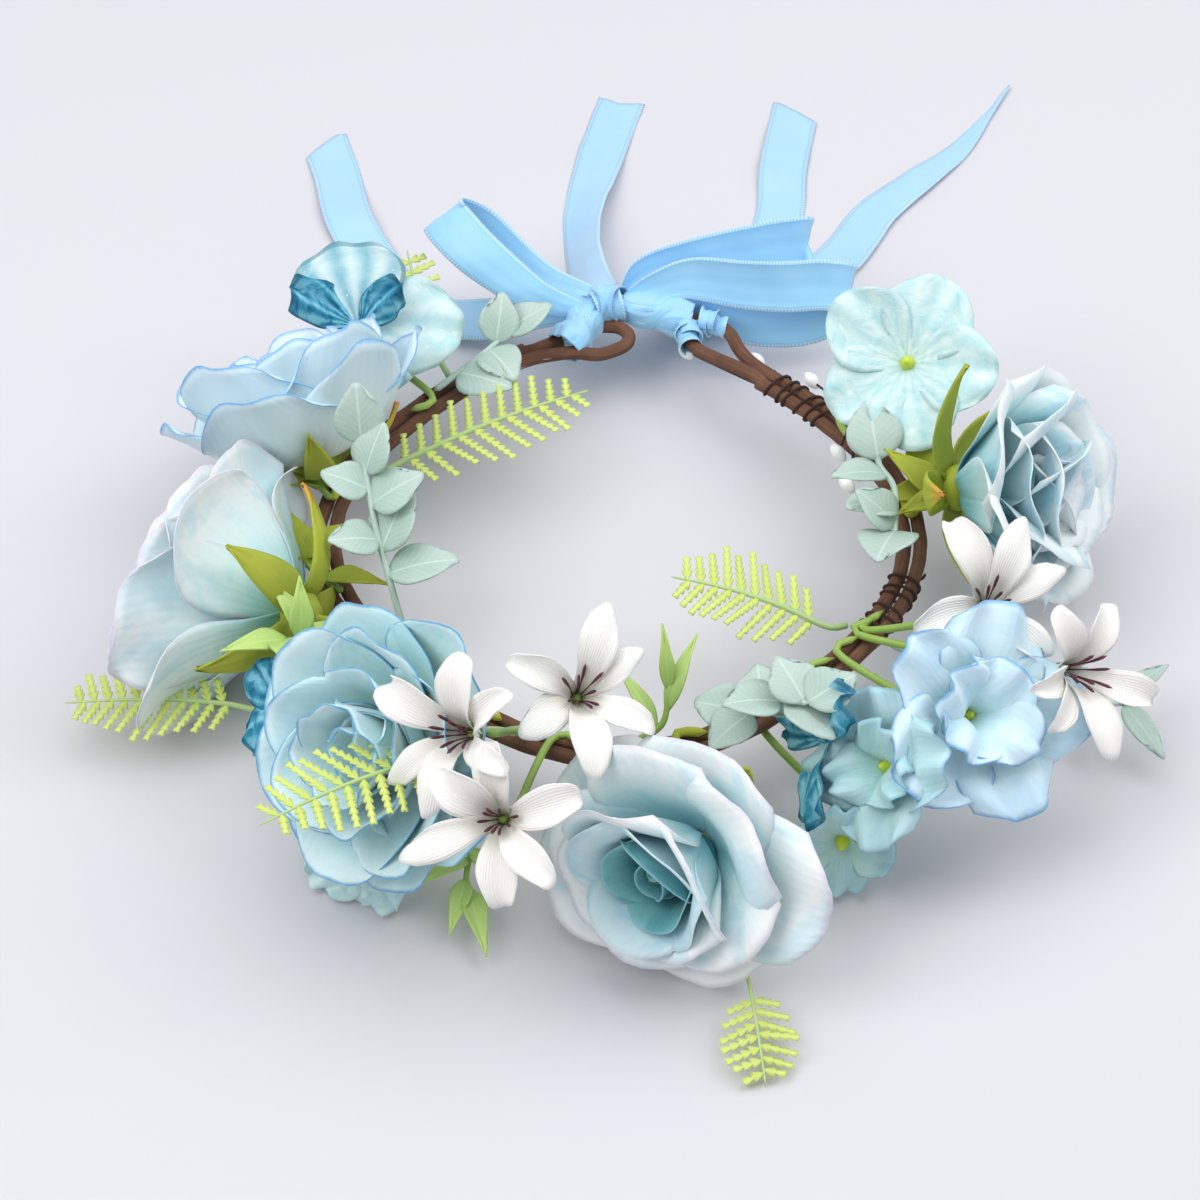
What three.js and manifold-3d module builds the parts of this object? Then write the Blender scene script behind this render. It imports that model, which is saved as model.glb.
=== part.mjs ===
// Flower crown: a doubled paper-wrapped wire hoop, open at the back, carrying silk flowers and moulded
// greens, tied behind with a satin bow. Millimetres, +Z up, lying on a table at z = 0 with its back at +Y.
import * as THREE from 'three'
import Module from 'manifold-3d'

const wasm = await Module()
wasm.setup()
const { Manifold, Mesh } = wasm

// ---- driving sizes ----
const SMOOTH = 0.2 // corners this small are dropped where a piece is cut
const CLEAR = 0.6 // what a soft piece keeps off the ones it rests against
const HOOP_R = 88 // mean radius of the doubled hoop, for a head of about 560 round
const HOOP_WAVE = 3 // how far the hoop is pulled out of round
const HOOP_UP = 22 // height of the hoop as the crown lies down
const STRAND_D = 4.4 // one paper-wrapped strand
const CORE_D = 1.8 // the wire in it
const CORE_GAP = 0.4 // between the wire and the paper
const BIND_D = 1.2 // binding wire
const BIND_PITCH = 4.5 // advance of each binding turn
const EYELET_L = 31 // length of the teardrop eyelet bent at each end
const EYELET_W = 18
const RIBBON_W = 16.5
const RIBBON_T = 0.5
const PETAL_T = 0.8
const LEAF_T = 0.8
const FERN_T = 1.2
const STEM_D = 2.4 // flower stems and the stalks of the greens
const BLOOM_R = 44 // radius of the largest flower; the others are fractions of it
const PIP_L = 7 // berries on the white spray

const COLOURS = {
  kraft_paper: [0x6f4a31, 0.85, 0], steel_wire: [0x9a9c9e, 0.4, 0.9], brown_wire: [0x3f2a1e, 0.8, 0],
  blue_satin: [0x8fc8ee, 0.35, 0], petal_blue: [0xa9d3ea, 0.75, 0], petal_aqua: [0xcfe8ea, 0.75, 0],
  petal_teal: [0x3f94a8, 0.75, 0], floret_aqua: [0xa6d6dc, 0.8, 0], calyx_olive: [0x8a9a3c, 0.6, 0],
  lily_white: [0xf3f1e8, 0.8, 0], fern_lime: [0xc4d94e, 0.5, 0], sage_leaf: [0x9dbcae, 0.6, 0],
  leaf_lime: [0xb3cf6c, 0.55, 0], pip_white: [0xf5f5f0, 0.45, 0],
}

const rad = THREE.MathUtils.degToRad
const vec = (x, y, z) => new THREE.Vector3(x, y, z)
const hoopRadius = deg => HOOP_R + HOOP_WAVE * Math.cos(4 * rad(deg))

// A point by its angle round the hoop, its distance outside the hoop and its height above it.
function at(deg, out = 0, up = 0) {
  const r = hoopRadius(deg) + out
  return vec(r * Math.cos(rad(deg)), r * Math.sin(rad(deg)), HOOP_UP + up)
}

// ---- solids ----
function solidOf(points, triangles) {
  const vertProperties = new Float32Array(points.flatMap(p => [p.x, p.y, p.z]))
  return new Manifold(new Mesh({ numProp: 3, vertProperties, triVerts: new Uint32Array(triangles.flat()) }))
}

// A sheet of thickness t about the surface fn(u, v), closed round its edges; wrap joins u = 1 to u = 0.
function skin(fn, nu, nv, t, wrap = false) {
  const cols = wrap ? nu : nu + 1
  const points = []
  const step = 1e-3
  for (const side of [0.5, -0.5]) {
    for (let j = 0; j <= nv; j++) {
      for (let i = 0; i < cols; i++) {
        const [u, v] = [i / nu, j / nv]
        const [u0, v0] = [Math.max(u - step, wrap ? u - step : 0), Math.max(v - step, 0)]
        const du = fn(u0 + 2 * step > 1 && !wrap ? 1 : u0 + 2 * step, v).sub(fn(u0, v))
        const dv = fn(u, Math.min(v0 + 2 * step, 1)).sub(fn(u, v0))
        points.push(fn(u, v).addScaledVector(du.cross(dv).normalize(), side * t))
      }
    }
  }
  const layer = cols * (nv + 1)
  const id = (s, i, j) => s * layer + j * cols + (wrap ? i % cols : i)
  const tris = []
  const quad = (a, b, c, d) => tris.push([a, b, c], [a, c, d])
  for (let j = 0; j < nv; j++) {
    for (let i = 0; i < nu; i++) {
      quad(id(0, i, j), id(0, i + 1, j), id(0, i + 1, j + 1), id(0, i, j + 1))
      quad(id(1, i, j), id(1, i, j + 1), id(1, i + 1, j + 1), id(1, i + 1, j))
    }
  }
  for (let i = 0; i < nu; i++) {
    quad(id(0, i + 1, 0), id(0, i, 0), id(1, i, 0), id(1, i + 1, 0))
    quad(id(0, i, nv), id(0, i + 1, nv), id(1, i + 1, nv), id(1, i, nv))
  }
  for (let j = 0; j < nv && !wrap; j++) {
    quad(id(0, 0, j), id(0, 0, j + 1), id(1, 0, j + 1), id(1, 0, j))
    quad(id(0, nu, j + 1), id(0, nu, j), id(1, nu, j), id(1, nu, j + 1))
  }
  return solidOf(points, tris)
}

// A round rod through the points, or a pipe where bore is given, without twist.
function rod(points, radius, sides = 6, bore = 0) {
  let normal = vec(0, 0, 1)
  const rings = []
  points.forEach((p, k) => {
    const before = points[Math.max(k - 1, 0)]
    const along = points[Math.min(k + 1, points.length - 1)].clone().sub(before).normalize()
    normal = normal.clone().addScaledVector(along, -normal.dot(along)).normalize()
    const side = along.clone().cross(normal)
    const ring = r => Array.from({ length: sides }, (_, i) => {
      const turn = 2 * Math.PI * (i + 0.5) / sides
      return p.clone().addScaledVector(side, r * Math.cos(turn)).addScaledVector(normal, r * Math.sin(turn))
    })
    rings.push([ring(radius), bore ? ring(bore) : [p.clone()]])
  })
  const verts = []
  const outer = []
  const inner = []
  rings.forEach(([big, small], k) => {
    outer.push(verts.length)
    verts.push(...big)
    inner.push(verts.length)
    if (bore || k === 0 || k === rings.length - 1) verts.push(...small)
  })
  const tris = []
  for (let k = 0; k < rings.length - 1; k++) {
    for (let i = 0; i < sides; i++) {
      const j = (i + 1) % sides
      const [a, b] = [outer[k], outer[k + 1]]
      tris.push([a + i, b + j, a + j], [a + i, b + i, b + j])
      const [c, d] = [inner[k], inner[k + 1]]
      if (bore) tris.push([c + i, c + j, d + j], [c + i, d + j, d + i])
    }
  }
  const last = rings.length - 1
  for (let i = 0; i < sides; i++) {
    const j = (i + 1) % sides
    if (bore) {
      tris.push([outer[0] + i, outer[0] + j, inner[0] + j], [outer[0] + i, inner[0] + j, inner[0] + i])
      tris.push([outer[last] + j, outer[last] + i, inner[last] + i])
      tris.push([outer[last] + j, inner[last] + i, inner[last] + j])
    } else {
      tris.push([outer[0] + i, outer[0] + j, inner[0]], [outer[last] + j, outer[last] + i, inner[last]])
    }
  }
  return solidOf(verts, tris)
}

function bent(points, count) {
  return new THREE.CatmullRomCurve3(points, false, 'centripetal').getSpacedPoints(count)
}

// Turns a solid's +Z to the compass bearing yaw and the elevation pitch, spun by roll, at a point.
function placed(solid, point, yaw, pitch, roll = 0) {
  const turn = new THREE.Matrix4().makeRotationZ(rad(yaw))
    .multiply(new THREE.Matrix4().makeRotationY(rad(90 - pitch)))
    .multiply(new THREE.Matrix4().makeRotationZ(rad(roll)))
  return solid.transform(turn.setPosition(point).elements)
}

function joined(solids) {
  return Manifold.union(solids)
}

// A stem from behind a bloom at point, down to the top of the hoop and a little way along it.
function stem(point, yaw, pitch, anchor, level = 1) {
  const back = vec(-Math.cos(rad(pitch)) * Math.cos(rad(yaw)), -Math.cos(rad(pitch)) * Math.sin(rad(yaw)),
    -Math.sin(rad(pitch)))
  const ride = level * (STRAND_D / 2 + STEM_D / 2 + 2 * CLEAR)
  const start = point.clone().addScaledVector(back, 4)
  const along = 7 // degrees of hoop that the stem is bound to
  return rod(bent([start, point.clone().addScaledVector(back, 12), at(anchor, 0, ride),
    at(anchor + along, 0, ride)], 5), STEM_D / 2, 5)
}

// The same solid grown by d along its vertex normals.
function grown(solid, d) {
  const { numProp, vertProperties, triVerts } = solid.getMesh()
  const geometry = new THREE.BufferGeometry()
  const position = new Float32Array(vertProperties)
  if (numProp !== 3) throw new Error('bare vertices expected')
  geometry.setAttribute('position', new THREE.BufferAttribute(position, 3))
  geometry.setIndex([...triVerts])
  geometry.computeVertexNormals()
  const normal = geometry.getAttribute('normal').array
  const moved = new Float32Array(position.map((x, i) => x + d * normal[i]))
  return new Manifold(new Mesh({ numProp: 3, vertProperties: moved, triVerts }))
}

// ---- putting the crown together ----
const pieces = []

function boxesMeet(a, b) {
  const [p, q] = [a.boundingBox(), b.boundingBox()]
  return [0, 1, 2].every(i => p.min[i] < q.max[i] && q.min[i] < p.max[i])
}

// The places a swinging piece takes, as matrices about its hinge.
function stops(swing) {
  if (!swing) return [new THREE.Matrix4()]
  const count = Math.ceil(swing.high - swing.low) // a stop at every degree
  return Array.from({ length: count + 1 }, (_, i) => {
    const turn = rad(swing.low + (swing.high - swing.low) * i / count)
    const away = new THREE.Matrix4().makeTranslation(-swing.pivot.x, -swing.pivot.y, -swing.pivot.z)
    return new THREE.Matrix4().makeTranslation(swing.pivot.x, swing.pivot.y, swing.pivot.z)
      .multiply(new THREE.Matrix4().makeRotationAxis(swing.axis, turn)).multiply(away)
  })
}

function largest(solid) {
  return solid.decompose().reduce((a, b) => (b.volume() > a.volume() ? b : a))
}

// Adds a piece, pressed flat where it meets the table and clear of every piece already there, in all of
// its own positions and theirs.
function add(name, finish, solid, swing = null) {
  let rest = solid
  const turns = stops(swing)
  for (const turn of turns) {
    const back = turn.clone().invert()
    rest = rest.transform(turn.elements).trimByPlane([0, 0, 1], 0).transform(back.elements)
    for (const other of pieces) {
      const moved = rest.transform(turn.elements)
      if (boxesMeet(moved, other.kept)) rest = moved.subtract(other.kept).transform(back.elements)
    }
  }
  rest = largest(largest(rest).simplify(SMOOTH))
  for (const other of pieces) { // dropped corners can bring it back against a neighbour
    if (boxesMeet(rest, other.solid) && rest.intersect(other.solid).volume() > 0) {
      rest = largest(rest.subtract(other.kept))
    }
  }
  const wide = grown(rest, CLEAR)
  const kept = swing ? joined(turns.map(turn => wide.transform(turn.elements))) : wide
  pieces.push({ name, finish, solid: rest, kept, swing })
}

// ---- the hoop ----
const RIGHT_END = 61 // where the right eyelet closes on the hoop
const LEFT_END = 106
const STRAND_OFF = (STRAND_D + CLEAR) / 2

function arc(from, to, out, step = 14) {
  const count = Math.round(Math.abs(to - from) / step)
  return Array.from({ length: count + 1 }, (_, i) => at(from + (to - from) * i / count, out))
}

// A teardrop bent from the strand: it leaves root along dir, rounds the far end and comes back beside root.
function eyelet(root, dir, side) {
  const outline = [[0.3, 0.55], [0.6, 0.95], [0.82, 0.85], [0.96, 0.5], [1, 0], [0.96, -0.5], [0.82, -0.85],
    [0.6, -0.95], [0.3, -0.55]]
  const across = vec(-dir.y, dir.x, 0).multiplyScalar(side)
  const half = (EYELET_W - STRAND_D) / 2
  const reach = EYELET_L - STRAND_D / 2
  const points = outline.map(([a, b]) => root.clone().addScaledVector(dir, a * reach)
    .addScaledVector(across, b * half))
  return points
}

function strand(name, points) {
  const bore = CORE_D / 2 + CORE_GAP
  add(`${name}_paper`, 'kraft_paper', rod(points, STRAND_D / 2, 6, bore))
  const core = rod(points, CORE_D / 2, 6)
  pieces.push({ name: `${name}_wire`, finish: 'steel_wire', solid: core, kept: core, swing: null })
}

const RIGHT_ROOT = at(RIGHT_END)
const LEFT_ROOT = at(LEFT_END)
const RIGHT_AIM = vec(-0.62, 0.785, 0).normalize()
const LEFT_AIM = vec(0.97, 0.24, 0).normalize()

function addHoop() {
  const gap = 3 // degrees between a plain end and the root of the eyelet beside it
  const outer = arc(LEFT_END + gap, 360 + RIGHT_END - gap, STRAND_OFF)
  strand('hoop_outer', [...outer, ...eyelet(RIGHT_ROOT, RIGHT_AIM, -1)])
  const inner = arc(360 + RIGHT_END - gap, LEFT_END + gap, -STRAND_OFF)
  strand('hoop_inner', [...inner, ...eyelet(LEFT_ROOT, LEFT_AIM, -1)])
}

// Binding wire wound round both strands from one angle to another.
function binding(from, to) {
  const length = rad(to - from) * HOOP_R
  const turns = Math.round(length / BIND_PITCH)
  const slack = 0.9 // the coil is drawn as flats, which cut inside its circle
  const high = STRAND_D / 2 + CLEAR + BIND_D / 2 + slack
  const wide = STRAND_D + CLEAR + BIND_D / 2 + slack
  const count = turns * 8
  return rod(Array.from({ length: count + 1 }, (_, i) => {
    const turn = 2 * Math.PI * turns * i / count
    return at(from + (to - from) * i / count, wide * Math.cos(turn), high * Math.sin(turn))
  }), BIND_D / 2, 4)
}

// ---- the ribbon ----
const KNOT = at(92, 12, 3)

// A flat strip along rows of [right, back, up] from the knot. Its width lies level, or it lies along an
// axis and is pinched at both ends.
function strip(rows, count, axis = null) {
  const points = rows.map(([x, y, z]) => vec(x, y, z).add(KNOT))
  const path = new THREE.CatmullRomCurve3(points, false, 'centripetal')
  return skin((u, v) => {
    const along = path.getTangent(v)
    const side = axis ? axis.clone() : vec(along.y, -along.x, 0)
    side.addScaledVector(along, -side.dot(along)).normalize()
    const width = RIBBON_W * (axis ? 0.35 + 0.65 * Math.sin(Math.PI * v) ** 0.6 : 1)
    const point = path.getPoint(v).addScaledVector(side, (u - 0.5) * width)
    return point.setZ(Math.max(point.z, RIBBON_T / 2))
  }, 2, count, RIBBON_T)
}

function addRibbon() {
  const down = -KNOT.z + RIBBON_T / 2 // lying on the table
  const knot = Manifold.sphere(1, 12).scale([8, 7, 6]).translate([KNOT.x, KNOT.y, KNOT.z])
  add('ribbon_knot', 'blue_satin', knot)
  const loopEnd = RIGHT_ROOT.clone().addScaledVector(RIGHT_AIM, EYELET_L)
  const hitch = rod(bent([KNOT.clone().add(vec(8, -2, 0)), loopEnd], 3), 5.5, 8)
  add('ribbon_hitch_right', 'blue_satin', hitch)
  const wrap = rod(bent([KNOT.clone().add(vec(-7, -3, -1)), LEFT_ROOT.clone().addScaledVector(LEFT_AIM, 6)
    .add(vec(0, 0, 1))], 3), 5, 8)
  add('ribbon_hitch_left', 'blue_satin', wrap)
  const tails = [
    [[-21, 8, -8], [-40, 13, -17], [-59, 21, -22], [-71, 35, down], [-79, 50, down], [-88, 70, down],
      [-93, 94, down], [-99, 112, down]],
    [[-3, 8, -3], [-5, 17, -7], [-8, 45, -18], [-7, 80, down], [0, 105, down], [6, 134, down]],
    [[16, 10, -8], [32, 27, -14], [51, 50, down], [59, 74, down], [61, 98, down], [66, 129, down]],
    [[18, 6, -10], [34, 17, -16], [60, 31, -21], [78, 50, down], [92, 75, down], [107, 91, down],
      [122, 108, down], [142, 142, down]],
  ]
  tails.forEach((rows, i) => add(`ribbon_tail_${i + 1}`, 'blue_satin', strip(rows, 16)))
  add('ribbon_loop_left', 'blue_satin', strip([[-9, -2, 0], [-23, 1, 4], [-40, 11, 11], [-50, 21, 15],
    [-53, 28, 15], [-43, 29, 8], [-31, 21, 1], [-22, 13, -1], [-10, 6, 0]], 20, vec(0.84, 0.32, 0.45)))
  add('ribbon_loop_right_back', 'blue_satin', strip([[10, 7, 4], [27, 15, 6], [44, 18, 8], [58, 21, 9],
    [67, 24, 7], [58, 24, 0], [37, 18, -1], [14, 8, 0]], 20, vec(0, 0.58, 0.84)))
  add('ribbon_loop_right_front', 'blue_satin', strip([[11, 3, 4], [27, 4, 9], [44, 1, 9], [58, 0, 9],
    [71, 2, 8], [81, 4, 3], [68, 2, -7], [56, 2, -8], [44, 2, -7], [30, 4, -2], [14, 2, -1]], 20,
    vec(-0.35, 0.53, 0.79)))
}

// ---- flowers ----
// A ring of petals standing in a cup: n lobes cut to the depth given, rim drooping by droop.
function whorl({ r, high, lift, n, cut, power = 1.6, droop = 0, hole = 3, turn = 0, cells = 4, rows = 3 }) {
  const inner = hole / r
  return skin((u, v) => {
    const lobe = 1 - cut * (1 - Math.abs(Math.cos((n * u + turn) * Math.PI)) ** 0.6)
    const s = inner + (lobe - inner) * v
    const a = 2 * Math.PI * u
    return vec(r * s * Math.cos(a), r * s * Math.sin(a), lift + high * s ** power - droop * s ** 6)
  }, n * cells, rows, PETAL_T, true)
}

function turned(profile, sides = 10) {
  return Manifold.revolve([profile], sides)
}

// Stem, receptacle, sepals and the post that the petal rings are threaded on.
function calyx(r, post) {
  const thin = STEM_D / 2
  const body = turned([[0, -6], [2, -6], [0.16 * r, -3], [0.13 * r, -0.6], [thin, -0.6], [thin, post],
    [0, post]])
  const sepals = whorl({ r: 0.62 * r, high: 0.1 * r, lift: -1.6, n: 5, cut: 0.62, hole: 1, cells: 3,
    rows: 2 })
  return joined([body, sepals])
}

const FLOWERS = [
  { name: 'rose_left', finish: 'petal_aqua', place: [202, 17, 13], yaw: 152, pitch: -5, r: 0.94,
    tall: 0.8, heart: 'petal_aqua' },
  { name: 'rose_front', finish: 'petal_aqua', place: [280.3, 42.1, 5.3], yaw: 236, pitch: 27, r: 1,
    tall: 0.52, heart: 'petal_teal' },
  { name: 'rose_right', finish: 'petal_aqua', place: [4, 15.5, 14.2], yaw: -20, pitch: 24, r: 0.9,
    tall: 0.8, heart: 'petal_teal' },
  { name: 'peony_back_left', finish: 'petal_blue', place: [161.5, 8, 12], yaw: 118, pitch: 46, r: 0.95,
    tall: 0.6 },
  { name: 'peony_front_left', finish: 'petal_blue', place: [239.5, 32, 18], yaw: 222, pitch: 28, r: 0.96,
    tall: 0.62 },
]

function addFlower({ name, finish, place, yaw, pitch, r, tall, heart, anchor = place[0] }) {
  const [big, point] = [BLOOM_R * r, at(...place)]
  const put = solid => placed(solid, point, yaw, pitch)
  const high = big * tall
  const hole = STEM_D / 2 + CLEAR
  const post = heart ? 6 : 5
  add(`${name}_calyx`, 'calyx_olive', joined([put(calyx(big, post)), stem(point, yaw, pitch, anchor)]))
  add(`${name}_outer_petals`, finish, put(whorl({ r: big, high: high * 0.75, lift: 0.6, n: 6, cut: 0.22,
    hole, droop: high * 0.15 })))
  add(`${name}_inner_petals`, finish, put(whorl({ r: big * 0.68, high: high * 0.95, lift: 3.2, n: 5,
    cut: 0.18, power: 2, hole, turn: 0.5, rows: 2 })))
  if (heart) {
    const base = post + 1.5
    const bud = [[0, base], [0.1 * big, base + 1], [0.27 * big, base + 0.3 * high],
      [0.3 * big, base + 0.6 * high], [0.2 * big, base + 0.75 * high], [0, base + 0.62 * high]]
    add(`${name}_heart`, heart, put(turned(bud, 12)))
  }
}

const FLORETS = [
  { name: 'floret_aqua_right', finish: 'floret_aqua', place: [29.5, 17.8, 26], yaw: 255, pitch: 50,
    r: 0.66 },
  { name: 'floret_shell', finish: 'floret_aqua', place: [136, 31, 13], yaw: 270, pitch: 62, r: 0.46,
    n: 4 },
  { name: 'floret_blue', finish: 'petal_blue', place: [317.5, 52, 19], yaw: 300, pitch: 48, r: 0.74,
    anchor: 321 },
  { name: 'floret_ruffled', finish: 'floret_aqua', place: [306, 48, 14], yaw: 225, pitch: 40, r: 0.6,
    anchor: 313 },
  { name: 'floret_teal', finish: 'petal_teal', place: [302, 30, 16], yaw: 190, pitch: 18, r: 0.5, n: 4,
    anchor: 304 },
  { name: 'floret_aqua_low', finish: 'floret_aqua', place: [299, 48, -7], yaw: 262, pitch: 16, r: 0.4, n: 4,
    level: -1 },
  { name: 'floret_teal_left', finish: 'petal_teal', place: [219, 40, 4], yaw: 215, pitch: 30, r: 0.42, n: 4,
    level: -1 },
  { name: 'floret_aqua_left', finish: 'floret_aqua', place: [238, 56, -10], yaw: 245, pitch: 15, r: 0.46,
    level: -1 },
]

function floret({ r, n = 5 }) {
  const big = BLOOM_R * r
  const petals = whorl({ r: big, high: big * 0.35, lift: 0, n, cut: 0.4, hole: 0.6, power: 1.3, rows: 2 })
  const button = turned([[0, -5], [1.9, -5], [1.9, -1], [0.1 * big, 0], [0.1 * big, 1.5], [0, 2.5]], 6)
  return joined([petals, button])
}

const LILIES = [
  { name: 'lily_left', place: [251.5, 42, 46], yaw: 230, pitch: 40 },
  { name: 'lily_inner', place: [262.6, 10, 34], yaw: 285, pitch: 55 },
  { name: 'lily_front', place: [257.1, 58, 32], yaw: 255, pitch: 45 },
  { name: 'lily_right', place: [329.8, 38, 33], yaw: 280, pitch: 55 },
  { name: 'lily_outer', place: [328, 66, 26], yaw: 310, pitch: 35 },
]

function lily() {
  const big = BLOOM_R * 0.56
  const petals = whorl({ r: big, high: big * 0.75, lift: 0, n: 6, cut: 0.72, hole: 0.8, power: 1.1,
    droop: big * 0.3, cells: 3, rows: 2 })
  const tube = turned([[0, -5], [1.9, -5], [2.2, 0.5], [1.2, 9], [0, 10]], 6)
  return joined([petals, tube])
}

function addSmall({ name, place, yaw, pitch, anchor = place[0], level = 1 }, finish, bloom) {
  const point = at(...place)
  add(name, finish, joined([placed(bloom, point, yaw, pitch), stem(point, yaw, pitch, anchor, level)]))
}

// ---- greens ----
// A fern frond in the XY plane: a midrib along X with forward-pointing teeth both sides.
function frond(length, width, pairs) {
  const start = 0.14 * length
  const pitch = (length - start) / pairs
  const side = sign => Array.from({ length: pairs }, (_, i) => {
    const x = start + i * pitch
    const reach = width / 2 * Math.sin(Math.PI * (0.2 + 0.75 * i / pairs)) + 1.6
    const tooth = pitch * 0.62
    return [[x, sign * 0.8], [x + reach * 0.3, sign * reach], [x + reach * 0.3 + tooth * 0.5, sign * reach],
      [x + tooth, sign * 0.8]]
  }).flat()
  const outline = [[0, -0.9], ...side(-1), [length, 0], ...side(1).reverse(), [0, 0.9]]
  return Manifold.extrude([outline], FERN_T).translate([0, 0, -FERN_T / 2])
}

// Each frond is bound on at root and bends there; its blade starts at from. low and high are how far it
// springs down and up, in degrees.
const FRONDS = [
  { name: 'fern_left_inner', root: [168, -7, 0], from: [161, -11, 4], to: [98.8, -33.4, 10], width: 22,
    pairs: 8, low: -6, high: 12 },
  { name: 'fern_left_outer', root: [222, 3, -5], from: [213, 36, -7], to: [199.8, 90.8, -10], width: 19,
    pairs: 8, low: -2, high: 4 },
  { name: 'fern_front_left', root: [251, 3, 5], via: [249, 24, 26], from: [247.5, 44, 35],
    to: [236.8, 100, 42], width: 22, pairs: 8, low: -2, high: 6 },
  { name: 'fern_right_inner', root: [331, -7, 1], from: [325, -9, 6], to: [298.2, -54.3, 12], width: 20,
    pairs: 8, low: -8, high: 12 },
  { name: 'fern_front', root: [287, 3, -5], from: [283, 66, -15], to: [281.6, 114, -20], width: 16, pairs: 8,
    low: 0, high: 5 },
]

function addFrond({ name, root, via, from, to, width, pairs, low, high }) {
  const [pivot, base, tip] = [at(...root), at(...from), at(...to)]
  const aim = tip.clone().sub(base)
  const pitch = THREE.MathUtils.radToDeg(Math.asin(aim.z / aim.length()))
  const yaw = THREE.MathUtils.radToDeg(Math.atan2(aim.y, aim.x))
  const blade = frond(aim.length(), width, pairs).rotate([0, -pitch, yaw])
    .translate([base.x, base.y, base.z])
  const inside = base.clone().addScaledVector(aim, 0.08)
  const route = [pivot, ...(via ? [at(...via)] : []), base, inside]
  const stalk = rod(bent(route, via ? 6 : 3), STEM_D / 2 - 0.2, 5)
  const reach = tip.clone().sub(pivot)
  const axis = vec(reach.y, -reach.x, 0).normalize()
  add(name, 'fern_lime', joined([blade, stalk]), { pivot, axis, low, high })
}

// A leaf lying along +X from the origin with its upper face to +Z.
function leaf(length, width, cup = 0.12, blunt = 0.5) {
  return skin((u, v) => {
    const half = 0.5 * Math.max(width * Math.sin(Math.PI * v ** blunt), 1)
    return vec(length * v, (2 * u - 1) * half, cup * width * (2 * u - 1) ** 2 - 0.12 * length * v * v)
  }, 2, 3, LEAF_T)
}

// A stalk through the points with leaves of [place along it, bearing, pitch, length, width].
function spray(points, leaves, radius = STEM_D / 2 - 0.2) {
  const curve = new THREE.CatmullRomCurve3(points, false, 'centripetal')
  const stalk = rod(curve.getSpacedPoints(4), radius, 4)
  const blades = leaves.map(([s, yaw, pitch, length, width, roll = 0]) => {
    const p = curve.getPointAt(s)
    return leaf(length, width).rotate([roll, 0, 0]).rotate([0, -pitch, yaw]).translate([p.x, p.y, p.z])
  })
  return joined([stalk, ...blades])
}

// The one spray that stands free inside the hoop and springs at its root.
function addUprightSpray() {
  const root = at(213, -8, 2)
  const solid = spray([root, at(206, -10, 14), at(193, -13, 26), at(178, -12, 40)],
    [[0.3, 10, 10, 18, 14], [0.45, 60, 30, 18, 14], [0.5, 200, 30, 13, 11], [0.72, 20, 25, 16, 13],
      [0.78, 175, 30, 13, 11], [0.98, 100, 45, 15, 13]])
  const swing = { pivot: root, axis: vec(root.y, -root.x, 0).normalize(), low: -6, high: 6 }
  add('eucalyptus_left', 'sage_leaf', solid, swing)
}

function addGreens() {
  add('eucalyptus_front', 'sage_leaf', spray([at(294, 0, 5), at(292, 12, 20), at(295, 22, 32)],
    [[0.5, 200, 10, 16, 13], [0.6, 120, 20, 15, 13], [0.8, 250, 25, 16, 14], [0.9, 0, 30, 15, 13],
      [0.98, 150, 40, 16, 14]]))
  add('eucalyptus_right', 'sage_leaf', spray([at(22, 0, 5), at(12, -7, 14), at(2, -6, 18), at(348, -4, 18)],
    [[0.2, 100, 30, 18, 16], [0.45, 190, 10, 15, 13], [0.95, 250, 20, 18, 16], [0.75, 200, 20, 15, 13]]))
  add('eucalyptus_back_left', 'sage_leaf', spray([at(134, 0, 5), at(122, -1, 9), at(113, 2, 11)],
    [[0.3, 330, 10, 17, 13], [0.7, 300, 5, 15, 12], [0.95, 30, 20, 15, 12]]))
  add('eucalyptus_tip_right', 'sage_leaf', spray([at(333, 4, -4), at(335, 40, -10), at(337, 66, -10),
    at(338, 78, -9)],
    [[0.8, 290, 5, 18, 6], [0.95, 30, 25, 18, 6], [0.98, 300, -10, 20, 6]]))
  add('leaf_sprig_left', 'leaf_lime', spray([at(217, 0, 5), at(213, 18, 14), at(212, 34, 20)],
    [[0.3, 190, 30, 22, 9], [0.5, 250, 10, 20, 8], [0.7, 140, 40, 20, 8], [0.9, 210, 20, 22, 9],
      [0.98, 280, 30, 20, 8]]))
  add('leaf_sprig_inner', 'leaf_lime', spray([at(272, 0, 5), at(278, -2, 10), at(280, -8, 18)],
    [[0.4, 130, 35, 22, 7], [0.7, 60, 40, 24, 7], [0.98, 100, 55, 20, 6]]))
}

// White pips on thin wires, all from one stalk that lies along the hoop.
function berries() {
  const foot = at(33, 8.5, -3)
  const tips = [[at(77, 8.5, -10), -1], [at(62.8, 12, -7), 0], [at(50, 12, -3), 1], [at(26.7, -9.6, 3), 9],
    [at(16, -15, 3), 9]]
  return joined(tips.flatMap(([tip, rise]) => {
    const bow = foot.clone().lerp(tip, 0.5).add(vec(0, 0, rise))
    const pip = Manifold.sphere(1, 8).scale([PIP_L * 0.3, PIP_L * 0.3, PIP_L / 2])
    return [rod(bent([foot, bow, tip], 3), 0.6, 4), placed(pip, tip, 130, 20)]
  }))
}

function build() {
  addHoop()
  add('binding_wire_right', 'brown_wire', binding(38, 56))
  add('binding_wire_front_right', 'brown_wire', binding(-28, -10))
  addRibbon()
  FRONDS.forEach(addFrond)
  addUprightSpray()
  FLOWERS.forEach(addFlower)
  LILIES.forEach(l => addSmall(l, 'lily_white', lily()))
  FLORETS.forEach(f => addSmall(f, f.finish, floret(f)))
  addGreens()
  add('berry_spray', 'pip_white', berries())
}

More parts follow.
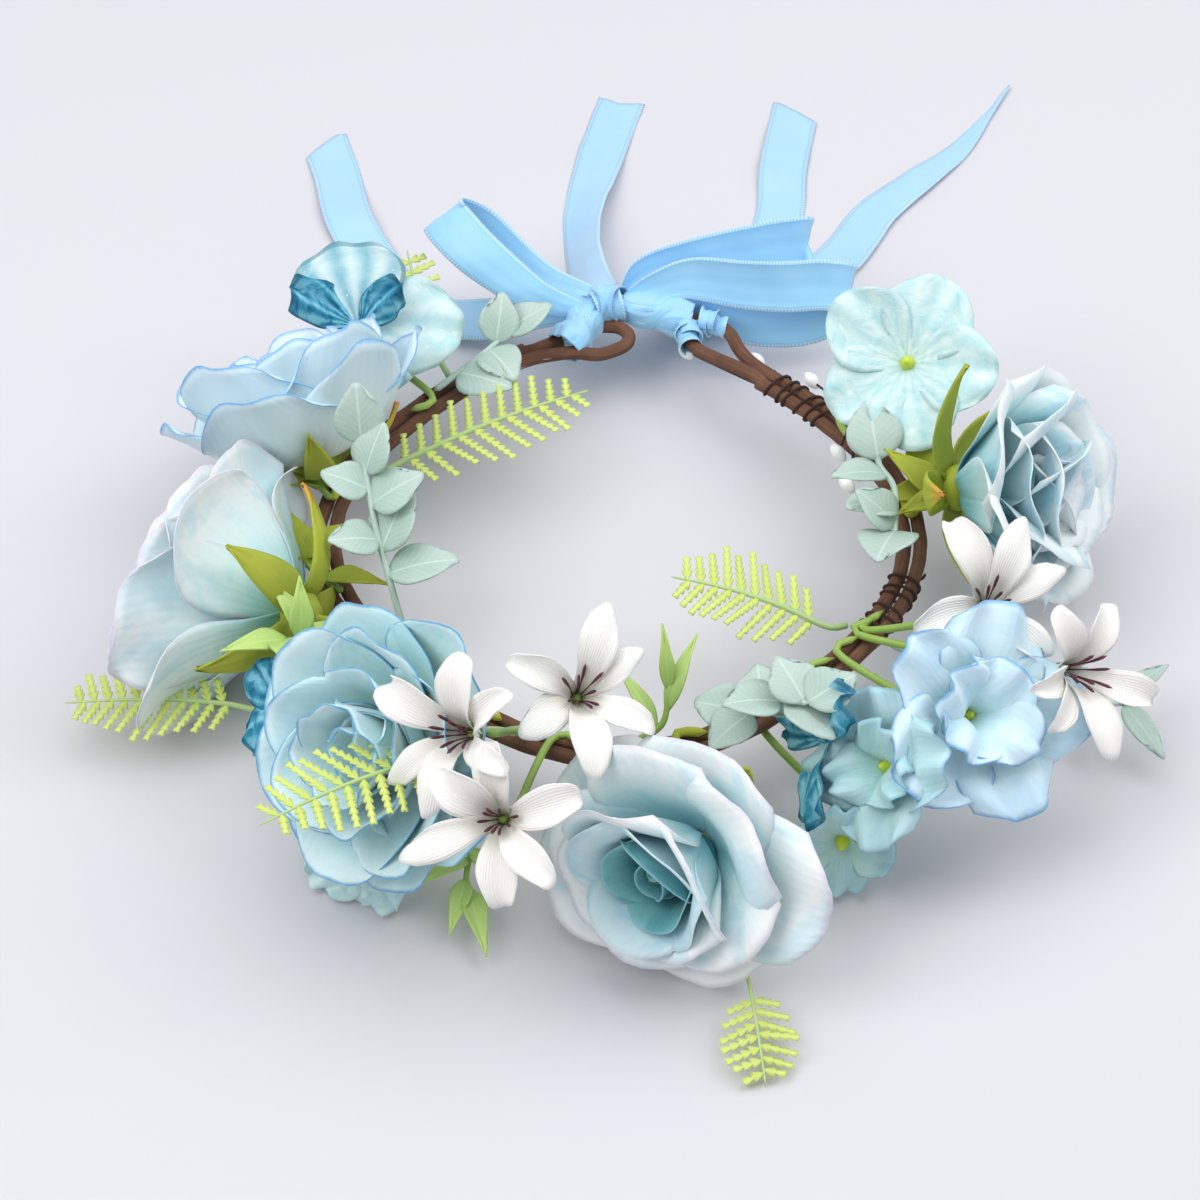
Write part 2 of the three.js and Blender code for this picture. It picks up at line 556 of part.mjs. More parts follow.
function meshOf({ name, finish, solid }, shift) {
  const { vertProperties, triVerts } = solid.translate(shift).getMesh()
  const geometry = new THREE.BufferGeometry()
  geometry.setAttribute('position', new THREE.BufferAttribute(new Float32Array(vertProperties), 3))
  geometry.setIndex([...triVerts])
  const [color, roughness, metalness] = COLOURS[finish]
  const mesh = new THREE.Mesh(geometry, new THREE.MeshStandardMaterial({ color, roughness, metalness }))
  mesh.name = name
  return mesh
}

build()
// The crown's box stands centred on the origin, on z = 0.
const whole = new THREE.Box3()
for (const { solid } of pieces) {
  const { min, max } = solid.boundingBox()
  whole.expandByPoint(vec(...min)).expandByPoint(vec(...max))
}
const shift = [-(whole.min.x + whole.max.x) / 2, -(whole.min.y + whole.max.y) / 2, -whole.min.z]
const crown = new THREE.Group()
crown.name = 'flower_crown'
crown.add(...pieces.map(piece => meshOf(piece, shift)))
const hinged = pieces.filter(p => p.swing)
crown.userData = { shift, joints: hinged.map(({ name, swing }) => ({ name, ...swing })) }
export default crown
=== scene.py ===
import math
import random
import bpy
import numpy as np
from mathutils import Matrix, Vector


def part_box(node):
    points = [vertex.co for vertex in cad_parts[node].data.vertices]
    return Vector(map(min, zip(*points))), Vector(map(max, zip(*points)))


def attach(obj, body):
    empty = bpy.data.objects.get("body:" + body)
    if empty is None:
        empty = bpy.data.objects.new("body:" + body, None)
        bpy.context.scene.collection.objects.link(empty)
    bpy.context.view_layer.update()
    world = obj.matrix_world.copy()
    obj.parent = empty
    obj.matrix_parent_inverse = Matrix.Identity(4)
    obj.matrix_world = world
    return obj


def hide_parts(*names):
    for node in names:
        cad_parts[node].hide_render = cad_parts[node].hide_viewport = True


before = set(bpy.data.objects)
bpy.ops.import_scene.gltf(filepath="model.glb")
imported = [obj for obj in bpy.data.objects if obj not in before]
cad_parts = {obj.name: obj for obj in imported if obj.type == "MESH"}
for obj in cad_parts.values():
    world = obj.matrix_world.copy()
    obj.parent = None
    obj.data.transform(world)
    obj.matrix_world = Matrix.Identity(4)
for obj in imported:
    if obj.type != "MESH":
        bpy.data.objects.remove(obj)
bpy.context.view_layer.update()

# Sizes are in millimetres and go to metres as each mesh is written.
MM = 0.001
HOOP_R, HOOP_WAVE, HOOP_UP = 88.0, 3.0, 22.0
STRAND = 4.4
RIBBON_W = 16.5
BLOOM = 44.0
PRESSED, LOWEST = 6.0, 0.6  # a petal bends from the first height down, and ends above the second
ROSE_CLOTH, BLOOM_CLOTH, SEPAL, FROND, LEAF = 0.32, 0.35, 0.5, 0.4, 0.6  # thicknesses
TAIL_CLOTH, WRAP_CLOTH = 0.22, 0.25
RNG = random.Random(7)

# The hoop's middle, from the box of its outer strand, which is as wide as it is deep.
LOW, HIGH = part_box("hoop_outer_paper")
CENTRE = np.array([(LOW[0] + HIGH[0]) / 2, LOW[1] + (HIGH[0] - LOW[0]) / 2, 0.0]) / MM


def at(deg, out=0.0, up=0.0):
    """A point by its angle round the hoop, its distance outside it and its height above it."""
    a = math.radians(deg)
    r = HOOP_R + HOOP_WAVE * math.cos(4 * a) + out
    return CENTRE + np.array([r * math.cos(a), r * math.sin(a), HOOP_UP + up])


def aim(yaw, pitch, roll=0.0):
    """Turns +Z to the bearing yaw and the elevation pitch."""
    m = (Matrix.Rotation(math.radians(yaw), 3, "Z") @ Matrix.Rotation(math.radians(90 - pitch), 3, "Y")
         @ Matrix.Rotation(math.radians(roll), 3, "Z"))
    return np.array(m)


# ---------------------------------------------------------------- view, light and floor
VIEW_MIDDLE, VIEW_RISE, VIEW_DISTANCE = (-6.0, -27.0, 22.0), math.radians(46), 1.364
LENS, FILM = 133.4, 36
LAMPS_AIM = Vector((0, -0.03, 0.02))


def camera():
    look = Vector((CENTRE + VIEW_MIDDLE) * MM)
    where = look + VIEW_DISTANCE * Vector((0, -math.cos(VIEW_RISE), math.sin(VIEW_RISE)))
    bpy.ops.object.camera_add(location=where, rotation=(math.radians(90) - VIEW_RISE, 0, 0))
    cam = bpy.context.object
    cam.data.lens = LENS
    cam.data.sensor_width = FILM
    bpy.context.scene.camera = cam


def light(name, where, size, power, tint=(1, 1, 1)):
    bpy.ops.object.light_add(type="AREA", location=where)
    lamp = bpy.context.object
    lamp.name = name
    lamp.data.size = size
    lamp.data.energy = power
    lamp.data.color = tint
    lamp.rotation_euler = (LAMPS_AIM - Vector(where)).to_track_quat("-Z", "Y").to_euler()
    return lamp


def studio():
    bpy.ops.mesh.primitive_plane_add(size=6, location=(0, 0.5, 0))
    floor = bpy.context.object
    floor.name = "floor"
    floor.data.materials.append(plain("floor_white", "d5d4d8", 0.6))
    lamps = [
        light("softbox_left", (-0.9, -0.5, 1.3), 1.1, 11.6),
        light("softbox_right", (1.0, 0.1, 1.2), 1.0, 8.0),
        light("overhead", (0.0, 0.4, 1.6), 1.6, 11.0, (0.97, 0.97, 1.0)),
    ]
    world = bpy.data.worlds.new("studio_air")
    bpy.context.scene.world = world
    world.use_nodes = True
    air = world.node_tree.nodes["Background"].inputs
    air["Color"].default_value = (0.93, 0.94, 1.0, 1)
    air["Strength"].default_value = 0.5
    bpy.context.scene.view_settings.view_transform = "Standard"


# ---------------------------------------------------------------- finishes
def rgb(code):
    c = [int(code[i:i + 2], 16) / 255 for i in (0, 2, 4)]
    return tuple(x / 12.92 if x <= 0.04045 else ((x + 0.055) / 1.055) ** 2.4 for x in c) + (1.0,)


class Finish:
    """A principled material with a few node helpers."""

    def __init__(self, name, roughness):
        self.mat = bpy.data.materials.new(name)
        self.mat.use_nodes = True
        self.nodes = self.mat.node_tree.nodes
        self.links = self.mat.node_tree.links
        self.shader = self.nodes["Principled BSDF"]
        self.surface(Roughness=roughness)

    def surface(self, **values):
        for key, value in values.items():
            self.shader.inputs[key.replace("_", " ")].default_value = value

    def node(self, kind, **values):
        n = self.nodes.new(kind)
        for key, value in values.items():
            if hasattr(n, key):
                setattr(n, key, value)
            else:
                n.inputs[key.replace("_", " ")].default_value = value
        return n

    def link(self, a, b):
        self.links.new(a, b)

    def feed(self, value, socket):
        if isinstance(value, (int, float, tuple)):
            socket.default_value = value
        else:
            self.link(value, socket)

    def math(self, op, *values):
        n = self.node("ShaderNodeMath", operation=op)
        for value, socket in zip(values, n.inputs):
            self.feed(value, socket)
        return n.outputs[0]

    def plus(self, a, b):
        return self.math("ADD", a, b)

    def minus(self, a, b):
        return self.math("SUBTRACT", a, b)

    def times(self, a, b):
        return self.math("MULTIPLY", a, b)

    def ramp(self, fac, stops):
        n = self.node("ShaderNodeValToRGB")
        e = n.color_ramp.elements
        while len(e) < len(stops):
            e.new(0.5)
        for el, (p, code) in zip(e, stops):
            el.position = p
            el.color = rgb(code)
        self.link(fac, n.inputs[0])
        return n.outputs[0]

    def mix(self, fac, a, b):
        n = self.node("ShaderNodeMix", data_type="RGBA")
        for value, i in ((fac, 0), (a, 6), (b, 7)):
            self.feed(value, n.inputs[i])
        return n.outputs[2]

    def uv(self):
        n = self.node("ShaderNodeUVMap", uv_map="UVMap")
        s = self.node("ShaderNodeSeparateXYZ")
        self.link(n.outputs[0], s.inputs[0])
        return n.outputs[0], s.outputs[0], s.outputs[1]

    def place(self):
        return self.node("ShaderNodeTexCoord").outputs["Object"]

    def attribute(self, name):
        return self.node("ShaderNodeAttribute", attribute_name=name).outputs["Fac"]

    def shuffled(self, uv, shifts):
        """A cut's own layout, moved by its tint so that no two cuts carry the same pattern."""
        tint = self.attribute("tint")
        spread = self.node("ShaderNodeCombineXYZ")
        for shift, socket in zip(shifts, spread.inputs):
            if shift:
                self.link(self.times(tint, shift), socket)
        moved = self.node("ShaderNodeVectorMath", operation="ADD")
        self.link(uv, moved.inputs[0])
        self.link(spread.outputs[0], moved.inputs[1])
        return moved.outputs[0]

    def off_middle(self, u):
        """0 along the middle of a cut and 1 at both its sides."""
        return self.math("ABSOLUTE", self.minus(self.times(u, 2.0), 1.0))

    def noise(self, vector, scale, detail=3.0, rough=0.55, distort=0.0):
        n = self.node("ShaderNodeTexNoise", Scale=scale, Detail=detail, Roughness=rough, Distortion=distort)
        self.link(vector, n.inputs["Vector"])
        return n.outputs[0]

    def bump(self, height, strength=0.3, distance=0.0004):
        n = self.node("ShaderNodeBump", Strength=strength, Distance=distance)
        self.link(height, n.inputs["Height"])
        self.link(n.outputs[0], self.shader.inputs["Normal"])

    def colour(self, socket):
        self.link(socket, self.shader.inputs["Base Color"])


def plain(name, code, roughness):
    f = Finish(name, roughness)
    f.surface(Base_Color=rgb(code))
    return f.mat


def petal_cloth(name, base, middle, tip, edge, stain, stain_amount, edge_width, edge_amount, streaks=0.3):
    """Pressed, dyed cloth: colour runs from the base of each petal to its rim, with a dyed edge line."""
    f = Finish(name, 0.75)
    uv, u, v = f.uv()
    layout = f.shuffled(uv, (37.0, 11.0, 0))
    along = f.plus(v, f.times(f.minus(f.noise(layout, 2.2, 3), 0.5), 0.3))
    col = f.ramp(along, [(0.08, base), (0.45, middle), (0.9, tip)])
    if stain:
        wet = f.noise(layout, 1.7, 4, 0.6, 0.6)
        pooled = f.math("SMOOTH_MIN", f.math("MAXIMUM", f.minus(wet, 0.47), 0.0), 0.12, 0.05)
        col = f.mix(f.math("MINIMUM", f.times(pooled, stain_amount * 9), 0.85), col, rgb(stain))
    rim = f.math("MAXIMUM", f.off_middle(u), v)
    ragged = f.plus(rim, f.times(f.minus(f.noise(layout, 9.0, 2), 0.5), 0.03))
    dyed = f.math("DIVIDE", f.minus(ragged, 1.0 - edge_width), edge_width)
    line = f.times(f.math("MINIMUM", f.math("MAXIMUM", dyed, 0.0), 1.0), edge_amount)
    f.colour(f.mix(line, col, rgb(edge)))
    ribs = f.node("ShaderNodeTexWave", bands_direction="X", Scale=4.5, Distortion=3.0, Detail=1.5)
    f.link(layout, ribs.inputs["Vector"])
    weave = f.noise(f.place(), 900, 1)
    f.bump(f.plus(f.times(ribs.outputs[1], streaks), f.times(weave, 0.25)), 0.35, 0.0006)
    f.surface(Sheen_Weight=0.15, Subsurface_Weight=0.12, Subsurface_Radius=(0.004, 0.005, 0.006),
              Specular_IOR_Level=0.25)
    return f.mat


def mottled_cloth(name, pale, mid, dark, scale, contrast, stripes, dots=0.0, edge=None):
    """Crumpled printed cloth with blotches, stripes down the petal and rows of pale dots."""
    f = Finish(name, 0.8)
    uv, u, v = f.uv()
    layout = f.shuffled(uv, (0, 19.0, 5.0))
    blotch = f.noise(layout, scale, 6, 0.65, 0.8)
    value = f.plus(f.times(f.minus(blotch, 0.5), 2.2 * contrast), 0.45)
    fan = f.math("DIVIDE", f.minus(u, 0.5), f.plus(f.times(v, 0.7), 0.35))
    value = f.plus(value, f.times(f.math("SINE", f.times(fan, 21.0)), stripes))
    col = f.ramp(value, [(0.15, pale), (0.5, mid), (0.85, dark)])
    height = blotch
    if dots:
        cells = f.node("ShaderNodeTexVoronoi", Scale=13.0, Randomness=0.45)
        f.link(layout, cells.inputs["Vector"])
        spot = f.math("LESS_THAN", cells.outputs["Distance"], 0.3)
        col = f.mix(f.times(spot, dots), col, rgb("d8eef0"))
        height = f.plus(blotch, f.times(spot, 0.5))
    if edge:
        rim = f.math("MAXIMUM", f.off_middle(u), v)
        col = f.mix(f.times(f.math("GREATER_THAN", rim, 0.93), 0.55), col, rgb(edge))
    f.colour(col)
    f.bump(height, 0.6, 0.0008)
    f.surface(Specular_IOR_Level=0.25)
    return f.mat


def moulded_leaf(name, pale, deep, rib, rough, veins, frost=0.0, tip=None):
    """Moulded plastic leaf: darker to one end, a pale midrib and side veins, a frosted bloom."""
    f = Finish(name, rough)
    _, u, v = f.uv()
    patch = f.noise(f.place(), 140, 4)
    col = f.ramp(f.plus(f.times(v, 0.6), f.times(patch, 0.4)), [(0.15, deep), (0.75, pale)])
    across = f.math("ABSOLUTE", f.minus(u, 0.5))
    slant = f.math("SINE", f.times(f.minus(v, f.times(across, 0.9)), 52.0))
    side = f.times(f.math("GREATER_THAN", slant, 0.93), 0.55)
    vein = f.math("MAXIMUM", f.math("LESS_THAN", across, 0.022), side)
    col = f.mix(f.times(vein, veins), col, rgb(rib))
    if tip:
        col = f.mix(f.math("MAXIMUM", f.times(f.minus(v, 0.72), 2.6), 0.0), col, rgb(tip))
    if frost:
        col = f.mix(f.times(f.noise(f.place(), 60, 3), frost), col, rgb("e6f0ea"))
    f.colour(col)
    f.bump(f.minus(patch, f.times(vein, 0.8)), 0.25, 0.0005)
    f.surface(Subsurface_Weight=0.08, Subsurface_Radius=(0.002, 0.004, 0.002))
    return f.mat


def satin(name, face, lit):
    """Satin ribbon: threads across its width give a broad sheen, and a fine picot shows at both edges."""
    picot, thread = 1.05, 0.35
    f = Finish(name, 0.36)
    along, across = f.attribute("along"), f.off_middle(f.uv()[1])
    # The lit colour, blended in by noise, is painted sheen: broad lighter patches on the ribbon.
    col = f.mix(f.noise(f.place(), 55, 2), rgb(face), rgb(lit))
    stitch = f.math("GREATER_THAN", f.math("SINE", f.times(along, 2 * math.pi / picot)), 0.1)
    edge = f.times(f.math("GREATER_THAN", across, 0.87), stitch)
    col = f.mix(f.times(edge, 0.75), col, rgb("d9f1ff"))
    hem = f.times(f.math("GREATER_THAN", across, 0.80), f.math("LESS_THAN", across, 0.87))
    f.colour(f.mix(f.times(hem, 0.3), col, rgb("6fb2e2")))
    threads = f.math("SINE", f.times(along, 2 * math.pi / thread))
    f.bump(f.plus(f.times(threads, 0.08), f.times(edge, 0.8)), 0.25, 0.0003)
    f.surface(Sheen_Weight=0.35, Anisotropic=0.5, Specular_IOR_Level=0.6)
    return f.mat


def bark_paper(name, light_code, dark_code):
    """Crepe paper wound round wire: fine wrinkles along the strand, in blotchy browns."""
    f = Finish(name, 0.85)
    grain = f.node("ShaderNodeMapping", Scale=(14.0, 0.6, 1.0))
    f.link(f.uv()[0], grain.inputs["Vector"])
    fibre = f.noise(grain.outputs[0], 3.0, 6, 0.7, 0.5)
    blot = f.noise(f.place(), 160, 4)
    f.colour(f.ramp(f.plus(f.times(fibre, 0.65), f.times(blot, 0.35)), [(0.3, dark_code), (0.62, light_code)]))
    f.bump(fibre, 0.9, 0.0009)
    return f.mat


# ---------------------------------------------------------------- cutting and pressing
BLANKS = {}


def unselect():
    bpy.ops.object.select_all(action="DESELECT")


def blank(columns, rows):
    """A flat unit cut laid out in columns and rows, made once for each layout and then copied."""
    if (columns, rows) not in BLANKS:
        unselect()
        bpy.ops.mesh.primitive_grid_add(x_subdivisions=columns, y_subdivisions=rows, size=1)
        made = bpy.context.object
        mesh = made.data
        bpy.data.objects.remove(made)
        co = np.empty(len(mesh.vertices) * 3)
        mesh.vertices.foreach_get("co", co)
        co = co.reshape(-1, 3) + 0.5
        BLANKS[columns, rows] = mesh, co[:, 0], co[:, 1]
    return BLANKS[columns, rows]


def cut(shape, finish, columns=8, rows=8, tint=None, length=0.0):
    """One cut pressed to a shape, which gives millimetre points from the places across and along it."""
    mesh, u, v = blank(columns, rows)
    mesh = mesh.copy()
    mesh.vertices.foreach_set("co", (shape(u, v) * MM).astype(np.float32).ravel())
    value = RNG.random() if tint is None else tint
    mesh.attributes.new("tint", "FLOAT", "POINT").data.foreach_set("value", np.full(len(u), value, np.float32))
    mesh.attributes.new("along", "FLOAT", "POINT").data.foreach_set("value", (v * length).astype(np.float32))
    mesh.materials.append(finish)
    piece = bpy.data.objects.new("cut", mesh)
    bpy.context.collection.objects.link(piece)
    return piece


def gather(name, cuts, thick=0.0, welded=False):
    """Joins cuts into one named piece, welds their seams and ends, or gives them their thickness."""
    unselect()
    for c in cuts:
        c.select_set(True)
    bpy.context.view_layer.objects.active = cuts[0]
    if len(cuts) > 1:
        bpy.ops.object.join()
    piece = bpy.context.object
    piece.name = name
    piece.data.name = name
    if welded:
        bpy.ops.object.mode_set(mode="EDIT")
        bpy.ops.mesh.select_all(action="SELECT")
        bpy.ops.mesh.remove_doubles(threshold=0.00002)
        bpy.ops.mesh.normals_make_consistent(inside=False)
        bpy.ops.object.mode_set(mode="OBJECT")
    if thick:
        wall = piece.modifiers.new("wall", "SOLIDIFY")
        wall.thickness = thick * MM
        wall.offset = 0
        bpy.ops.object.modifier_apply(modifier=wall.name)
    bpy.ops.object.shade_smooth()
    return piece


def curve(values, q):
    """A smooth curve through evenly spaced numbers or points."""
    p = np.asarray(values, float)
    n = len(p) - 1
    x = np.clip(q, 0, 1) * n
    i = np.minimum(x.astype(int), n - 1)
    t = x - i
    if p.ndim > 1:
        t = t[:, None]
    p = np.concatenate([p[:1] * 2 - p[1:2], p, p[-1:] * 2 - p[-2:-1]])
    a, b, c, d = p[i], p[i + 1], p[i + 2], p[i + 3]
    return 0.5 * (2 * b + (c - a) * t + (2 * a - 5 * b + 4 * c - d) * t ** 2 + (3 * b - a - 3 * c + d) * t ** 3)


def spaced(points, count):
    """Points at even distances along a smooth curve."""
    fine = curve(points, np.linspace(0, 1, 40 * len(points)))
    run = np.concatenate([[0], np.cumsum(np.linalg.norm(np.diff(fine, axis=0), axis=1))])
    where = np.linspace(0, run[-1], count)
    return np.stack([np.interp(where, run, fine[:, k]) for k in range(3)], 1), run[-1]


def turn_frames(points):
    """Directions across a path that don't spin about it."""
    along = np.gradient(points, axis=0)
    along /= np.linalg.norm(along, axis=1)[:, None]
    side = np.cross(along[0], [0.1, 0.2, 1.0])
    side /= np.linalg.norm(side)
    sides = []
    for t in along:
        side = side - t * side.dot(t)
        side = side / np.linalg.norm(side)
        sides.append(side)
    sides = np.array(sides)
    return along, sides, np.cross(along, sides)


def tube(points, radii, finish, columns=10, count=None, rough=0.0, tint=None):
    """A closed round rod along a path; its radius follows radii and rough lays wrinkles along it."""
    count = count or 6 * len(points)
    path, length = spaced(points, count + 1)
    _, side, rise = turn_frames(path)
    phase = RNG.random() * 9

    def shape(u, v):
        k = np.rint(v * count).astype(int)
        r = curve(radii, v) * np.where((k == 0) | (k == count), 0.001, 1)
        if rough:
            r = r * (1 + rough * (np.sin(2 * np.pi * 3 * u + 0.35 * length * v + phase)
                                  + 0.6 * np.sin(2 * np.pi * 5 * u - 0.5 * length * v + 2 * phase)))
        a = 2 * np.pi * u
        return path[k] + side[k] * (r * np.cos(a))[:, None] + rise[k] * (r * np.sin(a))[:, None]

    return cut(shape, finish, columns, count, tint, length)


def petal(length, width, rise, outline=(0.25, 0.62, 0.93, 1.0, 0.86), top=0.22, cup=35.0, ruffle=0.0, waves=2.5,
          roll=0.0, fray=0.0, ring=0.0, lift=0.0, turn=0.0, lean=0.0):
    """A petal growing out along +X from ring and lift; rise gives its slope in degrees from foot to tip."""
    steps = np.linspace(0, 1, 41)
    slope = np.radians(curve(rise, steps))
    out = np.concatenate([[0], np.cumsum((np.cos(slope[1:]) + np.cos(slope[:-1])) / 80)]) * length
    up = np.concatenate([[0], np.cumsum((np.sin(slope[1:]) + np.sin(slope[:-1])) / 80)]) * length
    a, b, c = (RNG.random() * 6.28 for _ in range(3))

    def shape(u, v):
        s = 2 * u - 1
        q = v * (1 - top * np.abs(s) ** 2.4)
        if fray:
            q = q + v ** 6 * fray / length * (np.sin(23 * u + a) + np.sin(41 * u + b) + 0.7 * np.sin(67 * u + c))
        half = width / 2 * curve(outline, v)
        bend = np.radians(curve(np.atleast_1d(cup) if np.ndim(cup) else (cup, cup), v))
        radius = width / 2 / np.maximum(bend, 0.02)
        over = radius * (1 - np.cos(s * half / radius))
        side = radius * np.sin(s * half / radius)
        over = over + ruffle * v ** 2 * np.sin(2 * np.pi * waves * u + a)
        over = over + 0.5 * ruffle * v * np.abs(s) ** 2 * np.sin(2 * np.pi * waves * 0.8 * v + b)
        over = over - roll * np.clip((np.abs(s) - 0.4) / 0.6, 0, 1) ** 2 * v ** 2
        side = side + lean * v ** 2 * length * 0.2
        k = np.interp(q, steps, slope)
        x = ring + np.interp(q, steps, out) + np.maximum(q - 1, 0) * length - over * np.sin(k)
        z = lift + np.interp(q, steps, up) + over * np.cos(k)
        r = math.radians(turn)
        return np.stack([x * math.cos(r) - side * math.sin(r), x * math.sin(r) + side * math.cos(r), z], 1)

    return shape


def stood(shape, point, facing):
    """Moves a shape made round +Z at the origin to its place and facing; the table bends what would pass it."""
    def placed(u, v):
        p = shape(u, v) @ facing.T + point
        low = p[:, 2] < PRESSED
        p[low, 2] = LOWEST + (PRESSED - LOWEST) * np.exp((p[low, 2] - PRESSED) / (PRESSED - LOWEST))
        return p

    return placed


def whorl(finish, n, point, facing, turn=0.0, jitter=1.0, columns=14, rows=12, **petal_sizes):
    """A ring of petals, no two quite alike."""
    cuts = []
    for i in range(n):
        sizes = dict(petal_sizes)
        sizes["length"] *= 1 + 0.07 * jitter * RNG.uniform(-1, 1)
        sizes["width"] *= 1 + 0.08 * jitter * RNG.uniform(-1, 1)
        tip = 7 * jitter * RNG.uniform(-1, 1)
        sizes["rise"] = [s + tip * k / (len(sizes["rise"]) - 1) + 2 * jitter * RNG.uniform(-1, 1)
                         for k, s in enumerate(sizes["rise"])]
        where = turn + 360 * i / n + 7 * jitter * RNG.uniform(-1, 1)
        cuts.append(cut(stood(petal(turn=where, **sizes), point, facing), finish, columns, rows))
    return cuts


def behind(point, yaw, pitch, far):
    a, b = math.radians(yaw), math.radians(pitch)
    return point - far * np.array([math.cos(b) * math.cos(a), math.cos(b) * math.sin(a), math.sin(b)])


def stalk(point, yaw, pitch, anchor, finish, level=1.0, radius=1.2):
    """A stem from behind a bloom to the hoop and a little way along it."""
    ride = level * (STRAND / 2 + 1.6)
    route = [behind(point, yaw, pitch, 4), behind(point, yaw, pitch, 12), at(anchor, 0, ride),
             at(anchor + 7, 0, ride)]
    return tube(route, (radius, radius, radius), finish, 8, 18)


def shown(piece, body, slot, *nodes):
    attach(piece, body)
    if nodes:
        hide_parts(*nodes)
    return piece


# ---------------------------------------------------------------- hoop and binding
RIGHT_END, LEFT_END, STRAND_OFF = 61.0, 106.0, 2.5
EYELET_L, EYELET_W = 31.0, 18.0
RIGHT_AIM, LEFT_AIM = np.array([-0.62, 0.785, 0]), np.array([0.97, 0.24, 0])
COIL_PITCH = 4.5
EYELET = [(0.3, 0.55), (0.6, 0.95), (0.82, 0.85), (0.96, 0.5), (1, 0), (0.96, -0.5), (0.82, -0.85),
          (0.6, -0.95),
          (0.3, -0.55)]


def eyelet(root, direction):
    direction = direction / np.linalg.norm(direction)
    across = np.array([direction[1], -direction[0], 0])
    return [root + direction * a * (EYELET_L - STRAND / 2) + across * b * (EYELET_W - STRAND) / 2 for a,
            b in EYELET]


def arc(start, end, out):
    return [at(a, out) for a in np.linspace(start, end, 34)]


def make_hoop(paper, wire):
    gap = 3  # degrees left for the bend into each eyelet
    outer = arc(LEFT_END + gap, 360 + RIGHT_END - gap, STRAND_OFF) + eyelet(at(RIGHT_END), RIGHT_AIM)
    outer += [at(RIGHT_END - 1, -0.9), at(RIGHT_END - 6, -2.2)]
    inner = arc(360 + RIGHT_END - gap, LEFT_END + gap, -STRAND_OFF) + eyelet(at(LEFT_END), LEFT_AIM)
    inner += [at(LEFT_END + 1, 0.9), at(LEFT_END + 6, 2.2)]
    for name, route in (("outer", outer), ("inner", inner)):
        r = STRAND / 2
        piece = gather(f"wrapped_strand_{name}",
                       [tube(route, (r, r * 1.04, r * 0.97, r), paper, 18, 560, 0.045)],
                       welded=True)
        shown(piece, "crown", "kraft_paper", f"hoop_{name}_paper")
    for name, start, end in (("right", 38, 56), ("front_right", -28, -10)):
        turns = round(math.radians(end - start) * HOOP_R / COIL_PITCH)
        t = np.linspace(0, 1, turns * 14)
        a = 2 * math.pi * turns * t + 0.5 * np.sin(9 * t)
        high, wide = STRAND / 2 + 0.75, STRAND + 0.9
        coil = [at(start + (end - start) * k + 0.5 * math.sin(14 * k), wide * math.cos(b), high * math.sin(b))
                for k, b in zip(t, a)]
        piece = gather(f"binding_{name}", [tube(coil, (0.5, 0.5), wire, 6, turns * 26)], welded=True)
        shown(piece, "crown", "brown_wire", f"binding_wire_{name}")


# ---------------------------------------------------------------- ribbon
KNOT = at(92, 12, 3)
DOWN = -KNOT[2] + 0.4


def ribbon(points, sides, widths, finish, columns=8, count=60, arch=0.0, crumple=0.0, ends=(0.0, 0.0)):
    """A ribbon along points whose width follows sides and widths; gives its cut and its flat length."""
    points, sides = np.array(points, float), np.array(sides, float)
    t = np.linspace(0, 1, 500)
    fine = curve(points, t)
    run = np.concatenate([[0], np.cumsum(np.linalg.norm(np.diff(fine, axis=0), axis=1))])
    length = run[-1]
    fine = np.concatenate([fine[:1] * 11 - fine[1:2] * 10, fine, fine[-1:] * 11 - fine[-2:-1] * 10])
    run = np.concatenate([[-10 * run[1]], run, [length + 10 * (length - run[-2])]])
    t = np.concatenate([[0], t, [1]])
    a, b = RNG.random() * 6, RNG.random() * 6

    def along(where):
        return np.stack([np.interp(where, run, fine[:, k]) for k in range(3)], 1)

    def shape(u, v):
        s = 2 * u - 1
        where = v * length + (ends[0] * s + ends[1] * (np.abs(s) - 0.5)) * v ** 8
        ahead = along(np.minimum(where + 1, length)) - along(np.minimum(where, length) - 1)
        ahead /= np.linalg.norm(ahead, axis=1)[:, None]
        k = np.interp(where, run, t)
        side = curve(sides, k)
        side = side - ahead * np.sum(side * ahead, axis=1)[:, None]
        side /= np.linalg.norm(side, axis=1)[:, None]
        face = np.cross(side, ahead)
        off = arch * (1 - s ** 2) + crumple * (np.sin(3 * np.pi * s + a) + np.sin(0.35 * where + 2 * s + b))
        p = along(where) + side * (s * curve(widths, k) / 2)[:, None] + face * off[:, None]
        p[:, 2] = np.maximum(p[:, 2], 0.2)
        return p

    return cut(shape, finish, columns, count, None, length), length


def level_sides(rows, leans):
    """Widths that lie level across a path, tipped by leans in degrees."""
    rows = np.array(rows, float)
    ahead = np.gradient(rows, axis=0)
    ahead /= np.linalg.norm(ahead, axis=1)[:, None]
    level = np.stack([ahead[:, 1], -ahead[:, 0], 0 * ahead[:, 0]], 1)
    level /= np.linalg.norm(level, axis=1)[:, None]
    lean = np.radians(curve(leans, np.linspace(0, 1, len(rows))))[:, None]
    return level * np.cos(lean) + np.cross(level, ahead) * np.sin(lean)


